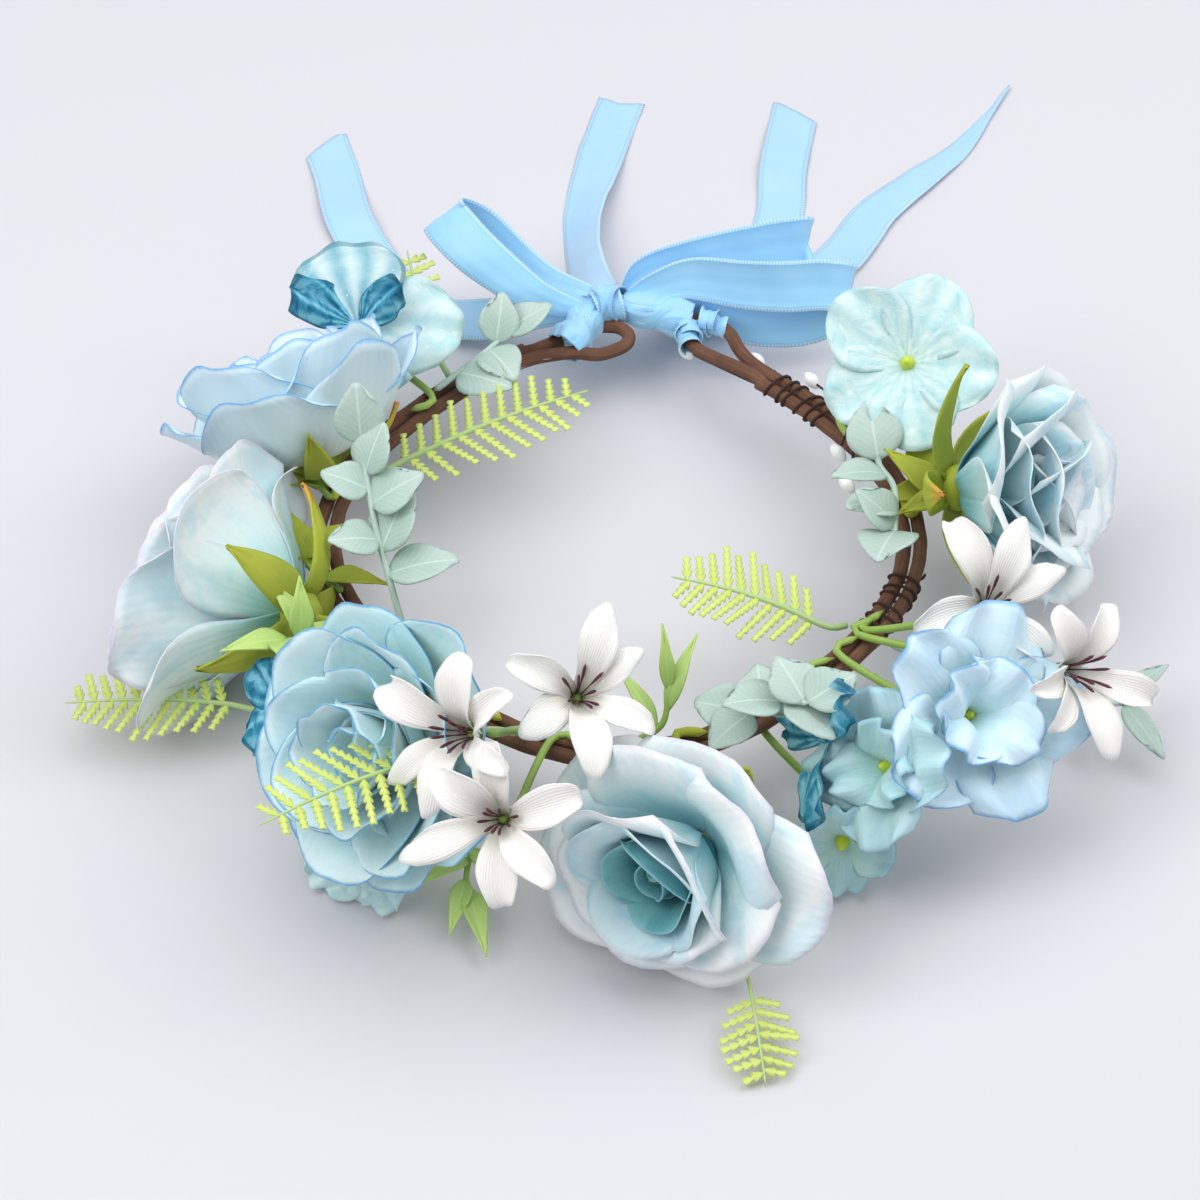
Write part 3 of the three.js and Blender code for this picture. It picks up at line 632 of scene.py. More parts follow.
TAILS = [
    ([(-5, 2, -3), (-21, 8, -8), (-40, 13, -17), (-59, 21, -22), (-71, 35, DOWN + 1), (-79, 50, DOWN),
      (-88, 70, DOWN + 2),
      (-93, 94, DOWN), (-98, 112, DOWN)], (50, 30, 10, 0, 8, -6, 0), (6, 0), (0.4, 0.9, 1, 1, 1, 1, 1)),
    ([(-1, 3, 2), (-3, 9, 0), (-6, 19, -7), (-8, 45, -17), (-8, 72, DOWN + 3), (-3, 100, DOWN + 1),
      (1, 118, DOWN),
      (5, 134, DOWN)], (0, 10, 40, 46, 10, 0, 0), (0, 2.4), (0.35, 0.8, 1, 1, 1, 1, 1, 1)),
    ([(8, 5, -4), (16, 10, -8), (32, 27, -14), (51, 50, DOWN + 1), (59, 74, DOWN), (61, 98, DOWN + 1),
      (66, 129, DOWN)],
     (20, 10, 0, 4, 0, -4, 0), (-5, 0), (0.5, 0.9, 1, 1, 1, 1)),
    ([(8, 3, -5), (18, 6, -10), (34, 17, -16), (60, 31, -21), (78, 50, DOWN + 1), (92, 75, DOWN),
      (107, 91, DOWN + 1),
      (122, 108, DOWN), (133, 126, DOWN), (142, 142, DOWN + 1)], (10, 0, 6, 0, 8, 0, 14, 40), (0, 0),
     (0.5, 0.9, 1, 1, 1, 0.95, 0.72, 0.5, 0.22, 0.05)),
]
PINCHED = (0.3, 0.62, 0.9, 1, 1, 1, 1, 0.9, 0.7, 0.4)
LOOPS = {
    "left": ([(-6, -2.5, 0), (-23, 1, 4), (-40, 11, 11), (-50, 21, 15), (-53, 28, 15), (-43, 29, 8),
              (-31, 21, 1),
              (-20, 12, 0), (-6, 5, 1)], [(0.84, 0.32, 0.45)] * 2),
    "right_back": ([(6, 6, 2), (12, 11, 5), (27, 15, 6), (44, 18, 8), (58, 21, 9), (67, 24, 7), (58, 24, 0),
                    (37, 18, -1),
                    (12, 7, 0)], [(0, 0.58, 0.84)] * 2),
    "right_front": ([(7, 2, 2), (14, 3, 5), (27, 4, 9), (44, 1, 9), (58, 0, 9), (71, 2, 8), (81, 4, 3),
                     (68, 2, -6),
                     (56, 1, -8), (44, 1, -7), (30, 4, -2), (14, 2, -1)],
                    [(0.1, 0.55, 0.8), (-0.35, 0.53, 0.79), (-0.2, 0.6, 0.8)]),
}


def ring(centre, axis, radius, width, finish, turns, start):
    """Ribbon wound once round an axis."""
    axis = np.array(axis, float) / np.linalg.norm(axis)
    side = np.cross(axis, [0, 0.2, 1.0])
    side /= np.linalg.norm(side)
    rise = np.cross(axis, side)
    a = np.linspace(start, start + 2 * math.pi * turns, 14)
    points = [centre + radius * (math.cos(b) * side + math.sin(b) * rise) + axis * (k - 7) * 0.16
              for k, b in enumerate(a)]
    widths = (width * 0.8, width, width * 0.9, width * 0.6)
    return ribbon(points, [axis, axis], widths, finish, 8, 48, 0.9, 0.35)[0]


def make_strips(face, lit_tail_face):
    # The tails take a lighter copy of the loops' satin: painted light on the flat tails.
    for k, (rows, leans, ends, widths) in enumerate(TAILS, 1):
        strip, length = ribbon(KNOT + np.array(rows), level_sides(rows, leans), np.array(widths) * RIBBON_W,
                               lit_tail_face, 8, 90, 0.4, 0.12, ends)
        piece = shown(gather(f"satin_tail_{k}", [strip], TAIL_CLOTH), "crown", "blue_satin", f"ribbon_tail_{k}")
    for side, (rows, sides) in LOOPS.items():
        strip, length = ribbon(KNOT + np.array(rows), sides, np.array(PINCHED) * RIBBON_W, face, 10, 120, 0.9,
                               0.1)
        piece = shown(gather(f"satin_loop_{side}", [strip], TAIL_CLOTH), "crown", "blue_satin",
                      f"ribbon_loop_{side}")


def make_knot(face):
    core = gather("core", [tube([KNOT + (-8, -1, 0), KNOT, KNOT + (9, 0, 0)], (3.0, 4.6, 3.6), face, 14, 16)],
                  welded=True)
    wraps = gather("wraps", [ring(KNOT, (1, 0.25, 0.1), 6.0, 10, face, 1.15, 0.6),
                             ring(KNOT + (2, 1, 0.6), (1, -0.5, 0.4), 6.3, 7, face, 0.8, 2.2),
                             ring(KNOT + (-2.5, 0, 0.3), (1, 0.5, -0.5), 5.8, 6, face, 0.8, 4.2)], WRAP_CLOTH)
    shown(gather("satin_knot", [core, wraps]), "crown", "blue_satin", "ribbon_knot")


def make_hitch(side, start, end, wound, face):
    """Ribbon drawn from the knot to an eyelet, and wound round the eyelet's sides where wound gives them."""
    way = (end - start) / np.linalg.norm(end - start)
    flank = np.cross(way, [0, 0, 1.0])
    rise = np.cross(flank, way)

    def beside(a):
        return flank * math.cos(a) + rise * math.sin(a)

    folds = []
    for k in range(6):
        a = 2 * math.pi * k / 6 + 0.4
        off, later = beside(a), beside(a + 1.3)
        points = [start + off * 2.2, start * 0.6 + end * 0.4 + off * 4.2,
                  start * 0.25 + end * 0.75 + later * 4.6,
                  end + later * 4.2 + way]
        sides = [np.cross(way, off)] * 2 + [np.cross(way, later)] * 2
        folds.append(ribbon(points, sides, (5, 7.5, 8, 6.5), face, 8, 30, 1.9, 0.3)[0])
    for k, (foot, tip) in enumerate(wound):
        folds.append(ring(foot, tip - foot, 3.9, 8, face, 1.1, 1.0 + k))
        folds.append(ring(tip * 0.7 + foot * 0.3 + (0, 0, 0.4), tip - foot, 4.4, 6, face, 1.1, 3.0 + k))
    filler = gather("filler", [tube([start - way, (start + end) / 2, end], (3.2, 4.2, 3.4), face, 14, 16,
                                    0.06)],
                    welded=True)
    shown(gather(f"satin_hitch_{side}", [filler, gather("folds", folds, WRAP_CLOTH)]), "crown", "blue_satin",
          f"ribbon_hitch_{side}")


def make_ribbon(face, lit_tail_face):
    make_strips(face, lit_tail_face)
    make_knot(face)
    eye = eyelet(at(RIGHT_END), RIGHT_AIM)
    right_end = at(RIGHT_END) + RIGHT_AIM / np.linalg.norm(RIGHT_AIM) * EYELET_L
    make_hitch("right", KNOT + (5, 1, 0), right_end, [(eye[2], eye[3]), (eye[6], eye[5])], face)
    make_hitch("left", KNOT + (-4, -1, 0), at(LEFT_END) + LEFT_AIM * 8, [], face)


# ---------------------------------------------------------------- flowers
FLOWERS = {
    "rose_left": ((203, 19, 11), 152, -5, 0.94),
    "rose_front": ((280.3, 42.1, 5.3), 236, 27, 1.0),
    "rose_right": ((4, 15.5, 14.2), -20, 24, 0.9),
    "peony_back_left": ((165, 8.5, 8), 118, 46, 0.95),
    "peony_front_left": ((239.5, 32, 18), 222, 28, 0.96),
}


def sized(sizes, big, open_out=0.0, wide=1.0):
    """A ring's sizes at the scale of its bloom, with its petals laid back by open_out degrees."""
    scaled = {k: v * big if k in ("length", "width", "ring") else v for k, v in sizes.items()}
    scaled["width"] *= wide
    scaled["rise"] = [s - open_out for s in sizes["rise"]]
    return scaled


ROSE_GUARD = [
    dict(length=1.12, width=1.2, rise=(10, 36, 30, -8), ring=0.06, lift=0.5, cup=(50, 44, 28, 12), ruffle=1.3,
         waves=1.4, roll=4.0, fray=0.14),
    dict(length=1.04, width=1.1, rise=(24, 54, 44, 4), ring=0.08, lift=1.5, cup=(55, 50, 32, 16), ruffle=1.2,
         waves=1.5, roll=4.5, fray=0.14),
]
ROSE_CUP = [
    (10, dict(length=0.93, width=1.02, rise=(42, 72, 58, 18), ring=0.11, lift=2.2, cup=(68, 60, 40, 20),
              ruffle=1.2, waves=1.4, roll=4.0, fray=0.12)),
    (50, dict(length=0.84, width=0.9, rise=(54, 80, 68, 38), ring=0.13, lift=3, cup=(78, 68, 48, 30),
              ruffle=0.9, waves=1.4, roll=2.6)),
]
ROSE_HEART = [
    (3, 20, 0.9, dict(length=0.66, width=0.84, rise=(66, 86, 80, 64), ring=0.19, lift=3.5,
                      cup=(100, 94, 74, 52), ruffle=0.7, waves=1.2, top=0.3)),
    (2, 75, 0.6, dict(length=0.56, width=0.7, rise=(80, 92, 92, 84), ring=0.12, lift=3.5,
                      cup=(150, 140, 126, 100), top=0.25)),
    (2, 0, 0.5, dict(length=0.48, width=0.4, rise=(88, 94, 98, 100), ring=0.05, lift=3.5,
                     cup=(190, 180, 170, 160), top=0.2)),
]


def make_rose(key, outer, middle, heart, green, tipped, open_out, turn, grow, oval, nod, n, leafy):
    place, yaw, pitch, r = FLOWERS[key]
    point, big = at(*place), BLOOM * r * grow
    squeeze = np.diag((oval, 1.0, 1.0))
    facing, inward = aim(yaw, pitch) @ squeeze, aim(yaw - nod / 3, pitch - nod) @ squeeze
    cuts = []
    for k, sizes in enumerate(ROSE_GUARD):
        cuts += whorl(outer, n, point, facing, turn + k * 180 / n,
                      **sized(sizes, big, open_out, math.sqrt(5 / n)))
    shown(gather(f"{key}_guard_petals", cuts, ROSE_CLOTH), "crown", "petal_aqua", f"{key}_outer_petals")
    cuts = []
    for cloth, (spin, sizes) in zip((outer, middle), ROSE_CUP):
        cuts += whorl(cloth, 4, point, inward, turn + spin, **sized(sizes, big, open_out))
    shown(gather(f"{key}_cup_petals", cuts, ROSE_CLOTH), "crown", "petal_aqua", f"{key}_inner_petals")
    cuts = []
    for count, spin, jitter, sizes in ROSE_HEART:
        cuts += whorl(heart, count, point, inward, turn + spin, jitter, **sized(sizes, big))
    shown(gather(f"{key}_spiral", cuts, ROSE_CLOTH), "crown", "petal_teal", f"{key}_heart")
    make_green(key, point, yaw, pitch, big / grow, green, tipped, leafy)


def make_green(key, point, yaw, pitch, big, green, tipped, leafy=1.0):
    facing = aim(yaw, pitch)
    cone = tube([behind(point, yaw, pitch, d) for d in (9, 6, 2.5, 0, -3)],
                (0.06 * big, 0.12 * big, 0.17 * big, 0.18 * big, 0.12 * big), green, 22, 14, 0.035)
    solid = gather("cone", [cone, stalk(point, yaw, pitch, FLOWERS[key][0][0], green, radius=1.5)], welded=True)
    sepals = whorl(green, 5, point, facing, 20, 0.7, 6, 10, length=0.78 * big * leafy, width=0.27 * big * leafy,
                   rise=(-30, 18, 40, 52), outline=(0.75, 1.0, 0.95, 0.62, 0.1), top=0.04, cup=28,
                   ring=0.12 * big, lift=-3.0, ruffle=0.7)
    for k in (0, 3):
        sepals[k].data.materials[0] = tipped
    blades = gather("sepals", sepals, SEPAL)
    shown(gather(f"{key}_green_cup", [solid, blades]), "crown", "calyx_olive", f"{key}_calyx")


def make_peony(key, cloth, green, tipped, turn, tiers):
    place, yaw, pitch, r = FLOWERS[key]
    point, facing, big = at(*place), aim(yaw, pitch), BLOOM * r
    pieces = {"outer": [], "inner": []}
    for part, n, spin, sizes in tiers:
        pieces[part] += whorl(cloth, n, point, facing, turn + spin, **sized(sizes, big))
    shown(gather(f"{key}_guard_petals", pieces["outer"], BLOOM_CLOTH), "crown", "petal_blue",
          f"{key}_outer_petals")
    shown(gather(f"{key}_crown_petals", pieces["inner"], BLOOM_CLOTH), "crown", "petal_blue",
          f"{key}_inner_petals")
    make_green(key, point, yaw, pitch, big, green, tipped)


ROUND = (0.3, 0.72, 0.98, 1.0, 0.78)
BACK_PEONY = [
    ("outer", 6, 0, dict(length=1.3, width=1.2, rise=(-6, 26, 50, 44), ring=0.05, lift=0.4,
                         cup=(55, 50, 36, 18),
                         ruffle=1.7, waves=1.8, outline=ROUND, top=0.26)),
    ("outer", 5, 36, dict(length=1.2, width=1.15, rise=(14, 44, 62, 54), ring=0.07, lift=1.2,
                          cup=(60, 54, 40, 22),
                          ruffle=1.8, waves=2.0, outline=ROUND, top=0.26)),
    ("inner", 5, 15, dict(length=0.98, width=0.95, rise=(42, 68, 80, 76), ring=0.1, lift=2,
                          cup=(72, 64, 48, 32),
                          ruffle=1.8, waves=2.2, outline=ROUND, top=0.28)),
    ("inner", 5, 50, dict(length=0.8, width=0.72, rise=(60, 82, 90, 92), ring=0.08, lift=3,
                          cup=(90, 80, 60, 42),
                          ruffle=1.6, waves=2.2, outline=ROUND, top=0.3)),
]
FRONT_PEONY = [
    ("outer", 6, 0, dict(length=1.16, width=1.2, rise=(-8, 14, 32, 34), ring=0.05, lift=0.4,
                         cup=(50, 46, 40, 30),
                         ruffle=1.4, waves=1.7, outline=ROUND, top=0.22)),
    ("outer", 6, 30, dict(length=1.06, width=1.1, rise=(8, 34, 46, 44), ring=0.06, lift=1.6,
                          cup=(55, 52, 46, 36),
                          ruffle=1.4, waves=1.7, outline=ROUND, top=0.22)),
    ("inner", 5, 12, dict(length=0.95, width=1.0, rise=(26, 52, 62, 58), ring=0.07, lift=2.6,
                          cup=(62, 60, 54, 46),
                          ruffle=1.2, waves=1.6, outline=ROUND, top=0.22)),
    ("inner", 5, 48, dict(length=0.82, width=0.84, rise=(46, 68, 76, 74), ring=0.07, lift=3.2,
                          cup=(74, 70, 62, 50),
                          ruffle=1.0, outline=ROUND, top=0.24)),
    ("inner", 4, 5, dict(length=0.68, width=0.66, rise=(64, 80, 90, 92), ring=0.06, lift=3.6,
                         cup=(90, 85, 74, 58),
                         ruffle=0.8, outline=ROUND, top=0.26)),
]


# ---------------------------------------------------------------- small blooms
SMALL = {
    "floret_aqua_right": ((29.5, 17.8, 26), 255, 50, 0.66, 29.5, 1),
    "floret_shell": ((136, 31, 13), 270, 62, 0.46, 134.7, 1),
    "floret_blue": ((317.5, 52, 19), 300, 48, 0.74, 321, 1),
    "floret_ruffled": ((306, 48, 14), 225, 40, 0.6, 313, 1),
    "floret_teal": ((302, 30, 16), 190, 18, 0.5, 304, 1),
    "floret_aqua_low": ((299, 48, -7), 262, 16, 0.4, 299, -1),
    "floret_teal_left": ((219, 40, 6), 215, 34, 0.4, 219, -1),
    "floret_aqua_left": ((238, 56, -10), 245, 15, 0.46, 238, -1),
}


def make_floret(key, cloth, n, turn=0, button="button", slot="floret_aqua", more=(), **sizes):
    place, yaw, pitch, r, anchor, level = SMALL[key]
    point, facing, big = at(*place), aim(yaw, pitch), BLOOM * r
    shape = dict(length=big, width=big * 1.05, rise=(36, 22, 12, 4), ring=0.6, cup=(40, 25, 14, 8), ruffle=1.4,
                 waves=2.2, outline=(0.18, 0.62, 0.95, 1.0, 0.8), top=0.24)
    shape.update(sizes)
    blades = whorl(F[cloth], n, point, facing, turn, **shape)
    for extra_cloth, count, spin, change in more:
        blades += whorl(F[extra_cloth], count, point, facing, spin, **{**shape, **change})
    blades = gather("blades", blades, BLOOM_CLOTH)
    middle = tube([behind(point, yaw, pitch, d) for d in (4, 1, -1.5, -4.5, -6)], (1.2, 2.0, 2.3, 1.5, 0.4),
                  F[button], 10, 12, 0.05)
    centre = gather("centre", [middle, stalk(point, yaw, pitch, anchor, F["stem"], level)], welded=True)
    shown(gather(f"{key}_bloom", [blades, centre]), "crown", slot, key)


LILIES = {
    "lily_left": ((251.5, 42, 46), 230, 40, 10),
    "lily_inner": ((262.6, 10, 34), 285, 55, 40),
    "lily_front": ((257.1, 58, 32), 255, 45, 0),
    "lily_right": ((329.8, 38, 33), 280, 55, 25),
    "lily_outer": ((328, 66, 26), 310, 35, 50),
}


def make_lily(key, white, green, wine):
    place, yaw, pitch, turn = LILIES[key]
    point, facing = at(*place), aim(yaw, pitch)
    blades = whorl(white, 6, point, facing, turn, 2.6, 8, 14, length=32, width=11, rise=(74, 62, 36, 4, -36),
                   outline=(0.42, 0.5, 0.6, 0.88, 1.0, 0.66), top=0.14, cup=(60, 48, 30, 22), ring=1.4,
                   ruffle=1.5,
                   waves=0.9, lean=0.6)
    blades = gather("blades", blades, BLOOM_CLOTH)
    threads = []
    for k in range(9):
        a, lean = math.radians(40 * k + RNG.uniform(-14, 14)), RNG.uniform(0.25, 0.62)
        tip = np.array([lean * 13 * math.cos(a), lean * 13 * math.sin(a), RNG.uniform(14, 19)])
        route = [np.array([math.cos(a), math.sin(a), 1.0]), tip * (0.55, 0.55, 0.62), tip]
        threads.append(tube([p @ facing.T + point for p in route], (0.2, 0.22, 0.22, 0.5, 0.5), wine, 5, 10))
    throat = tube([behind(point, yaw, pitch, d) for d in (4, 2, 0, -3)], (1.1, 1.9, 2.0, 0.9), green, 10, 10)
    centre = gather("centre", threads + [throat, stalk(point, yaw, pitch, place[0], green)], welded=True)
    shown(gather(f"{key}_bloom", [blades, centre]), "crown", "lily_white", key)


# ---------------------------------------------------------------- greens
FRONDS = {
    "fern_left_inner": ((168, -7, 0), None, (161, -11, 4), (98.8, -33.4, 10), 33, 11),
    "fern_left_outer": ((222, 3, -5), None, (213, 36, -7), (199.8, 90.8, -10), 29, 11),
    "fern_front_left": ((251, 3, 5), (249, 24, 26), (247.5, 44, 35), (236.8, 100, 42), 30, 10),
    "fern_right_inner": ((331, -7, 1), None, (325, -9, 6), (298.2, -54.3, 12), 32, 10),
    "fern_front": ((287, 3, -5), None, (283, 66, -15), (281.6, 114, -20), 21, 7),
    "fern_tip_back": ((128, 3, 3), None, (124, 28, 1), (119, 57, 8), 15, 5),
}
BARE = {"fern_front": 0.42, "fern_left_outer": 0.24}  # how much of the rib has no leaflets


def make_fern(key, blade, rib):
    root, via, start, end, width, pairs = FRONDS[key]
    base, tip = at(*start), at(*end)
    way = tip - base
    reach = np.linalg.norm(way)
    way = way / reach
    level = np.cross(way, [0, 0, 1.0])
    level /= np.linalg.norm(level)
    over = np.cross(level, way)

    def bow(s):
        return base + way * s * reach + over * 3.0 * math.sin(math.pi * s)

    route = [at(*root)] + ([at(*via)] if via else []) + [bow(s) for s in (0, 0.25, 0.5, 0.75, 1.0)]
    spine = gather("spine", [tube(route, (1.1, 1.0, 0.85, 0.6, 0.3), rib, 8, 44)], welded=True)
    leaves = []
    bare = BARE.get(key, 0.1)
    for k in range(pairs):
        s = bare + (0.96 - bare) * k / pairs
        size = width / 2 * math.sin(math.pi * (0.22 + 0.72 * k / pairs)) + 1.2
        lobes = max(2, round(size / 2.6))
        for sign in (-1, 1):
            droop = RNG.uniform(-0.18, 0.18)
            foot = bow(s + (0.02 if sign > 0 else 0))
            line = level * sign * math.cos(0.35) + way * math.sin(0.35) + over * droop
            leaves.append(cut(pinna(foot, line, way, size, lobes), blade, 2, lobes * 5))
    blades = gather("blades", leaves, FROND)
    own = [key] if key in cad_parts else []
    shown(gather(f"{key}_frond", [spine, blades]), f"{key}_body" if own else "crown", "fern_lime", *own)


def pinna(foot, line, way, size, lobes):
    """A narrow leaflet with rounded lobes in pairs, each slanting towards its tip."""
    across = way - line * way.dot(line)
    across /= np.linalg.norm(across)

    def shape(u, v):
        s = 2 * u - 1
        lobe = np.abs(np.sin(np.pi * lobes * np.minimum(v, 0.999))) ** 0.8
        taper = 1 - 0.5 * v
        half = 0.28 + 1.5 * lobe * taper
        forward = 1.0 * half * np.abs(s)
        return (foot + line * (v * size + forward)[:, None] + across * (s * half)[:, None]
                + np.cross(line, across) * (0.35 * s ** 2 * half)[:, None])

    return shape


def leaf(point, yaw, pitch, roll, length, width, outline, cup, curl):
    """A leaf, its face up before it is turned."""
    turn = (Matrix.Rotation(math.radians(yaw), 3, "Z") @ Matrix.Rotation(math.radians(-pitch), 3, "Y")
            @ Matrix.Rotation(math.radians(roll), 3, "X"))
    top = 0.24 if outline is OVATE else 0.06
    return stood(petal(length, width, curl, outline=outline, top=top, cup=cup, ruffle=0.35, waves=1.5), point,
                 np.array(turn))


OVATE = (0.12, 0.55, 0.8, 0.94, 1.0, 1.0, 0.96, 0.88, 0.72, 0.42)
POINTED = (0.2, 0.8, 1.0, 0.72, 0.4, 0.03)
SPRAYS = {
    "eucalyptus_left": ([(213, -8, 2), (206, -10, 14), (193, -13, 26), (178, -12, 40)],
                        [(0.3, 10, 10, 20, 15), (0.42, 60, 34, 19, 15), (0.48, 200, 20, 15, 12),
                         (0.66, 15, 30, 17, 14),
                         (0.74, 175, 24, 14, 12), (0.82, 60, 50, 15, 13), (0.98, 100, 62, 17, 14)]),
    "eucalyptus_front": ([(294, 0, 5), (292, 12, 20), (295, 22, 32), (298, 30, 36)],
                         [(0.4, 160, 0, 15, 14), (0.48, 220, -12, 15, 14), (0.62, 95, 5, 15, 14),
                          (0.6, 10, -5, 15, 14),
                          (0.8, 185, 5, 16, 15), (0.84, 320, -10, 16, 15), (0.98, 30, 12, 15, 14),
                          (0.96, 120, 18, 15, 14)]),
    "eucalyptus_right": ([(22, 0, 5), (12, -7, 14), (2, -6, 18), (348, -4, 18)],
                         [(0.2, 100, 30, 18, 16), (0.45, 190, 10, 16, 14), (0.95, 250, 20, 19, 17),
                          (0.75, 200, 20, 16, 14), (0.9, 160, 40, 15, 13)]),
    "eucalyptus_back_left": ([(134, 0, 5), (122, -1, 9), (113, 2, 11)],
                             [(0.3, 330, 10, 18, 14), (0.7, 300, 5, 16, 13), (0.95, 30, 20, 16, 13),
                              (0.8, 80, 40, 15, 12)]),
    "eucalyptus_tip_right": ([(333, 4, -4), (335, 40, -10), (337, 66, -10), (338, 78, -9)],
                             [(0.8, 290, 5, 19, 7), (0.95, 30, 25, 18, 7), (0.98, 300, -8, 20, 7)]),
    "leaf_sprig_left": ([(217, 0, 5), (213, 18, 14), (212, 34, 20)],
                        [(0.3, 190, 30, 23, 9), (0.5, 250, 10, 21, 8), (0.7, 140, 40, 22, 8),
                         (0.9, 210, 20, 24, 9),
                         (0.98, 280, 30, 21, 8), (0.8, 90, 60, 20, 8)]),
    "leaf_sprig_back": ([(172, 0, 4), (168, 10, 8), (165, 18, 9)],
                        [(0.3, 205, 20, 23, 10), (0.6, 80, 5, 23, 11), (0.9, 330, 5, 22, 9),
                         (0.98, 180, 20, 22, 9)]),
    "leaf_sprig_mid": ([(198, 0, 4), (194, 6, 8), (190, 10, 10)],
                       [(0.4, 350, 5, 21, 9), (0.7, 110, 15, 23, 10), (0.98, 250, 20, 22, 9),
                        (0.9, 40, 10, 21, 9)]),
    "leaf_sprig_right": ([(16, 2, -2), (12, 8, 2), (7, 12, 4)],
                         [(0.5, 95, 35, 24, 11), (0.9, 150, 30, 24, 11), (0.98, 215, 15, 20, 9),
                          (0.7, 200, 10, 20, 9)]),
    "leaf_sprig_low": ([(249, 20, -4), (250, 42, -12), (251, 50, -14)],
                       [(0.98, 285, -5, 25, 8), (0.9, 258, 0, 21, 7), (0.7, 215, 5, 18, 7),
                        (0.6, 300, 8, 18, 6)]),
    "leaf_sprig_inner": ([(272, 0, 5), (278, -2, 10), (280, -8, 18)],
                         [(0.4, 130, 35, 23, 6), (0.7, 60, 44, 25, 6), (0.98, 100, 60, 21, 5)]),
}


def make_spray(key, body, slot, blade, stem, pointed=False):
    route, leaves = SPRAYS[key]
    route = [at(*p) for p in route]
    line, _ = spaced(route, 101)
    stalks = [tube(route, (1.1, 1.0, 0.8), stem, 8, 24)]
    outline, cup, curl, size = (POINTED, 34, (14, 4, -10, -16), 1.0) if pointed else (OVATE, 16,
                                                                                      (10, 2, -8, -14), 1.12)
    blades = []
    for where, yaw, pitch, length, width in leaves:
        shape = leaf(line[round(where * 100)], yaw, pitch, RNG.uniform(-18, 18), length * size, width * size,
                     outline, cup, curl)
        blades.append(cut(shape, blade, 8, 10))
    blades = gather("blades", blades, LEAF)
    piece = gather(f"{key}_spray", [gather("stalks", stalks, welded=True), blades])
    shown(piece, body, slot, *([key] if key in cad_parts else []))


def make_berries(white, wire):
    foot = at(33, 8.5, -3)
    parts = []
    for tip, rise in (((77, 8.5, -10), -1), ((62.8, 12, -7), 0), ((50, 12, -3), 1), ((26.7, -9.6, 3), 9),
                      ((16, -15, 3), 9)):
        tip = at(*tip)
        parts.append(tube([foot, (foot + tip) / 2 + (0, 0, rise), tip], (0.45, 0.4, 0.4), wire, 6, 12))
        away = np.array([-0.62, 0.70, 0.34]) * 3.6
        parts.append(tube([tip - away, tip - away * 0.5, tip, tip + away * 0.6, tip + away],
                          (0.5, 1.7, 2.2, 1.7, 0.4), white, 14, 14, tint=0.5))
    shown(gather("berry_pips", parts, welded=True), "crown", "pip_white", "berry_spray")


def dress_wires():
    steel = Finish("bare_steel", 0.35)
    steel.surface(Metallic=1.0)
    grain = steel.noise(steel.place(), 900, 2)
    steel.colour(steel.ramp(grain, [(0.3, "8d8f92"), (0.7, "b5b8bb")]))
    steel.bump(grain, 0.1)
    for name in ("hoop_outer_wire", "hoop_inner_wire"):
        mesh = bpy.data.objects[name].data
        mesh.materials.clear()
        mesh.materials.append(steel.mat)


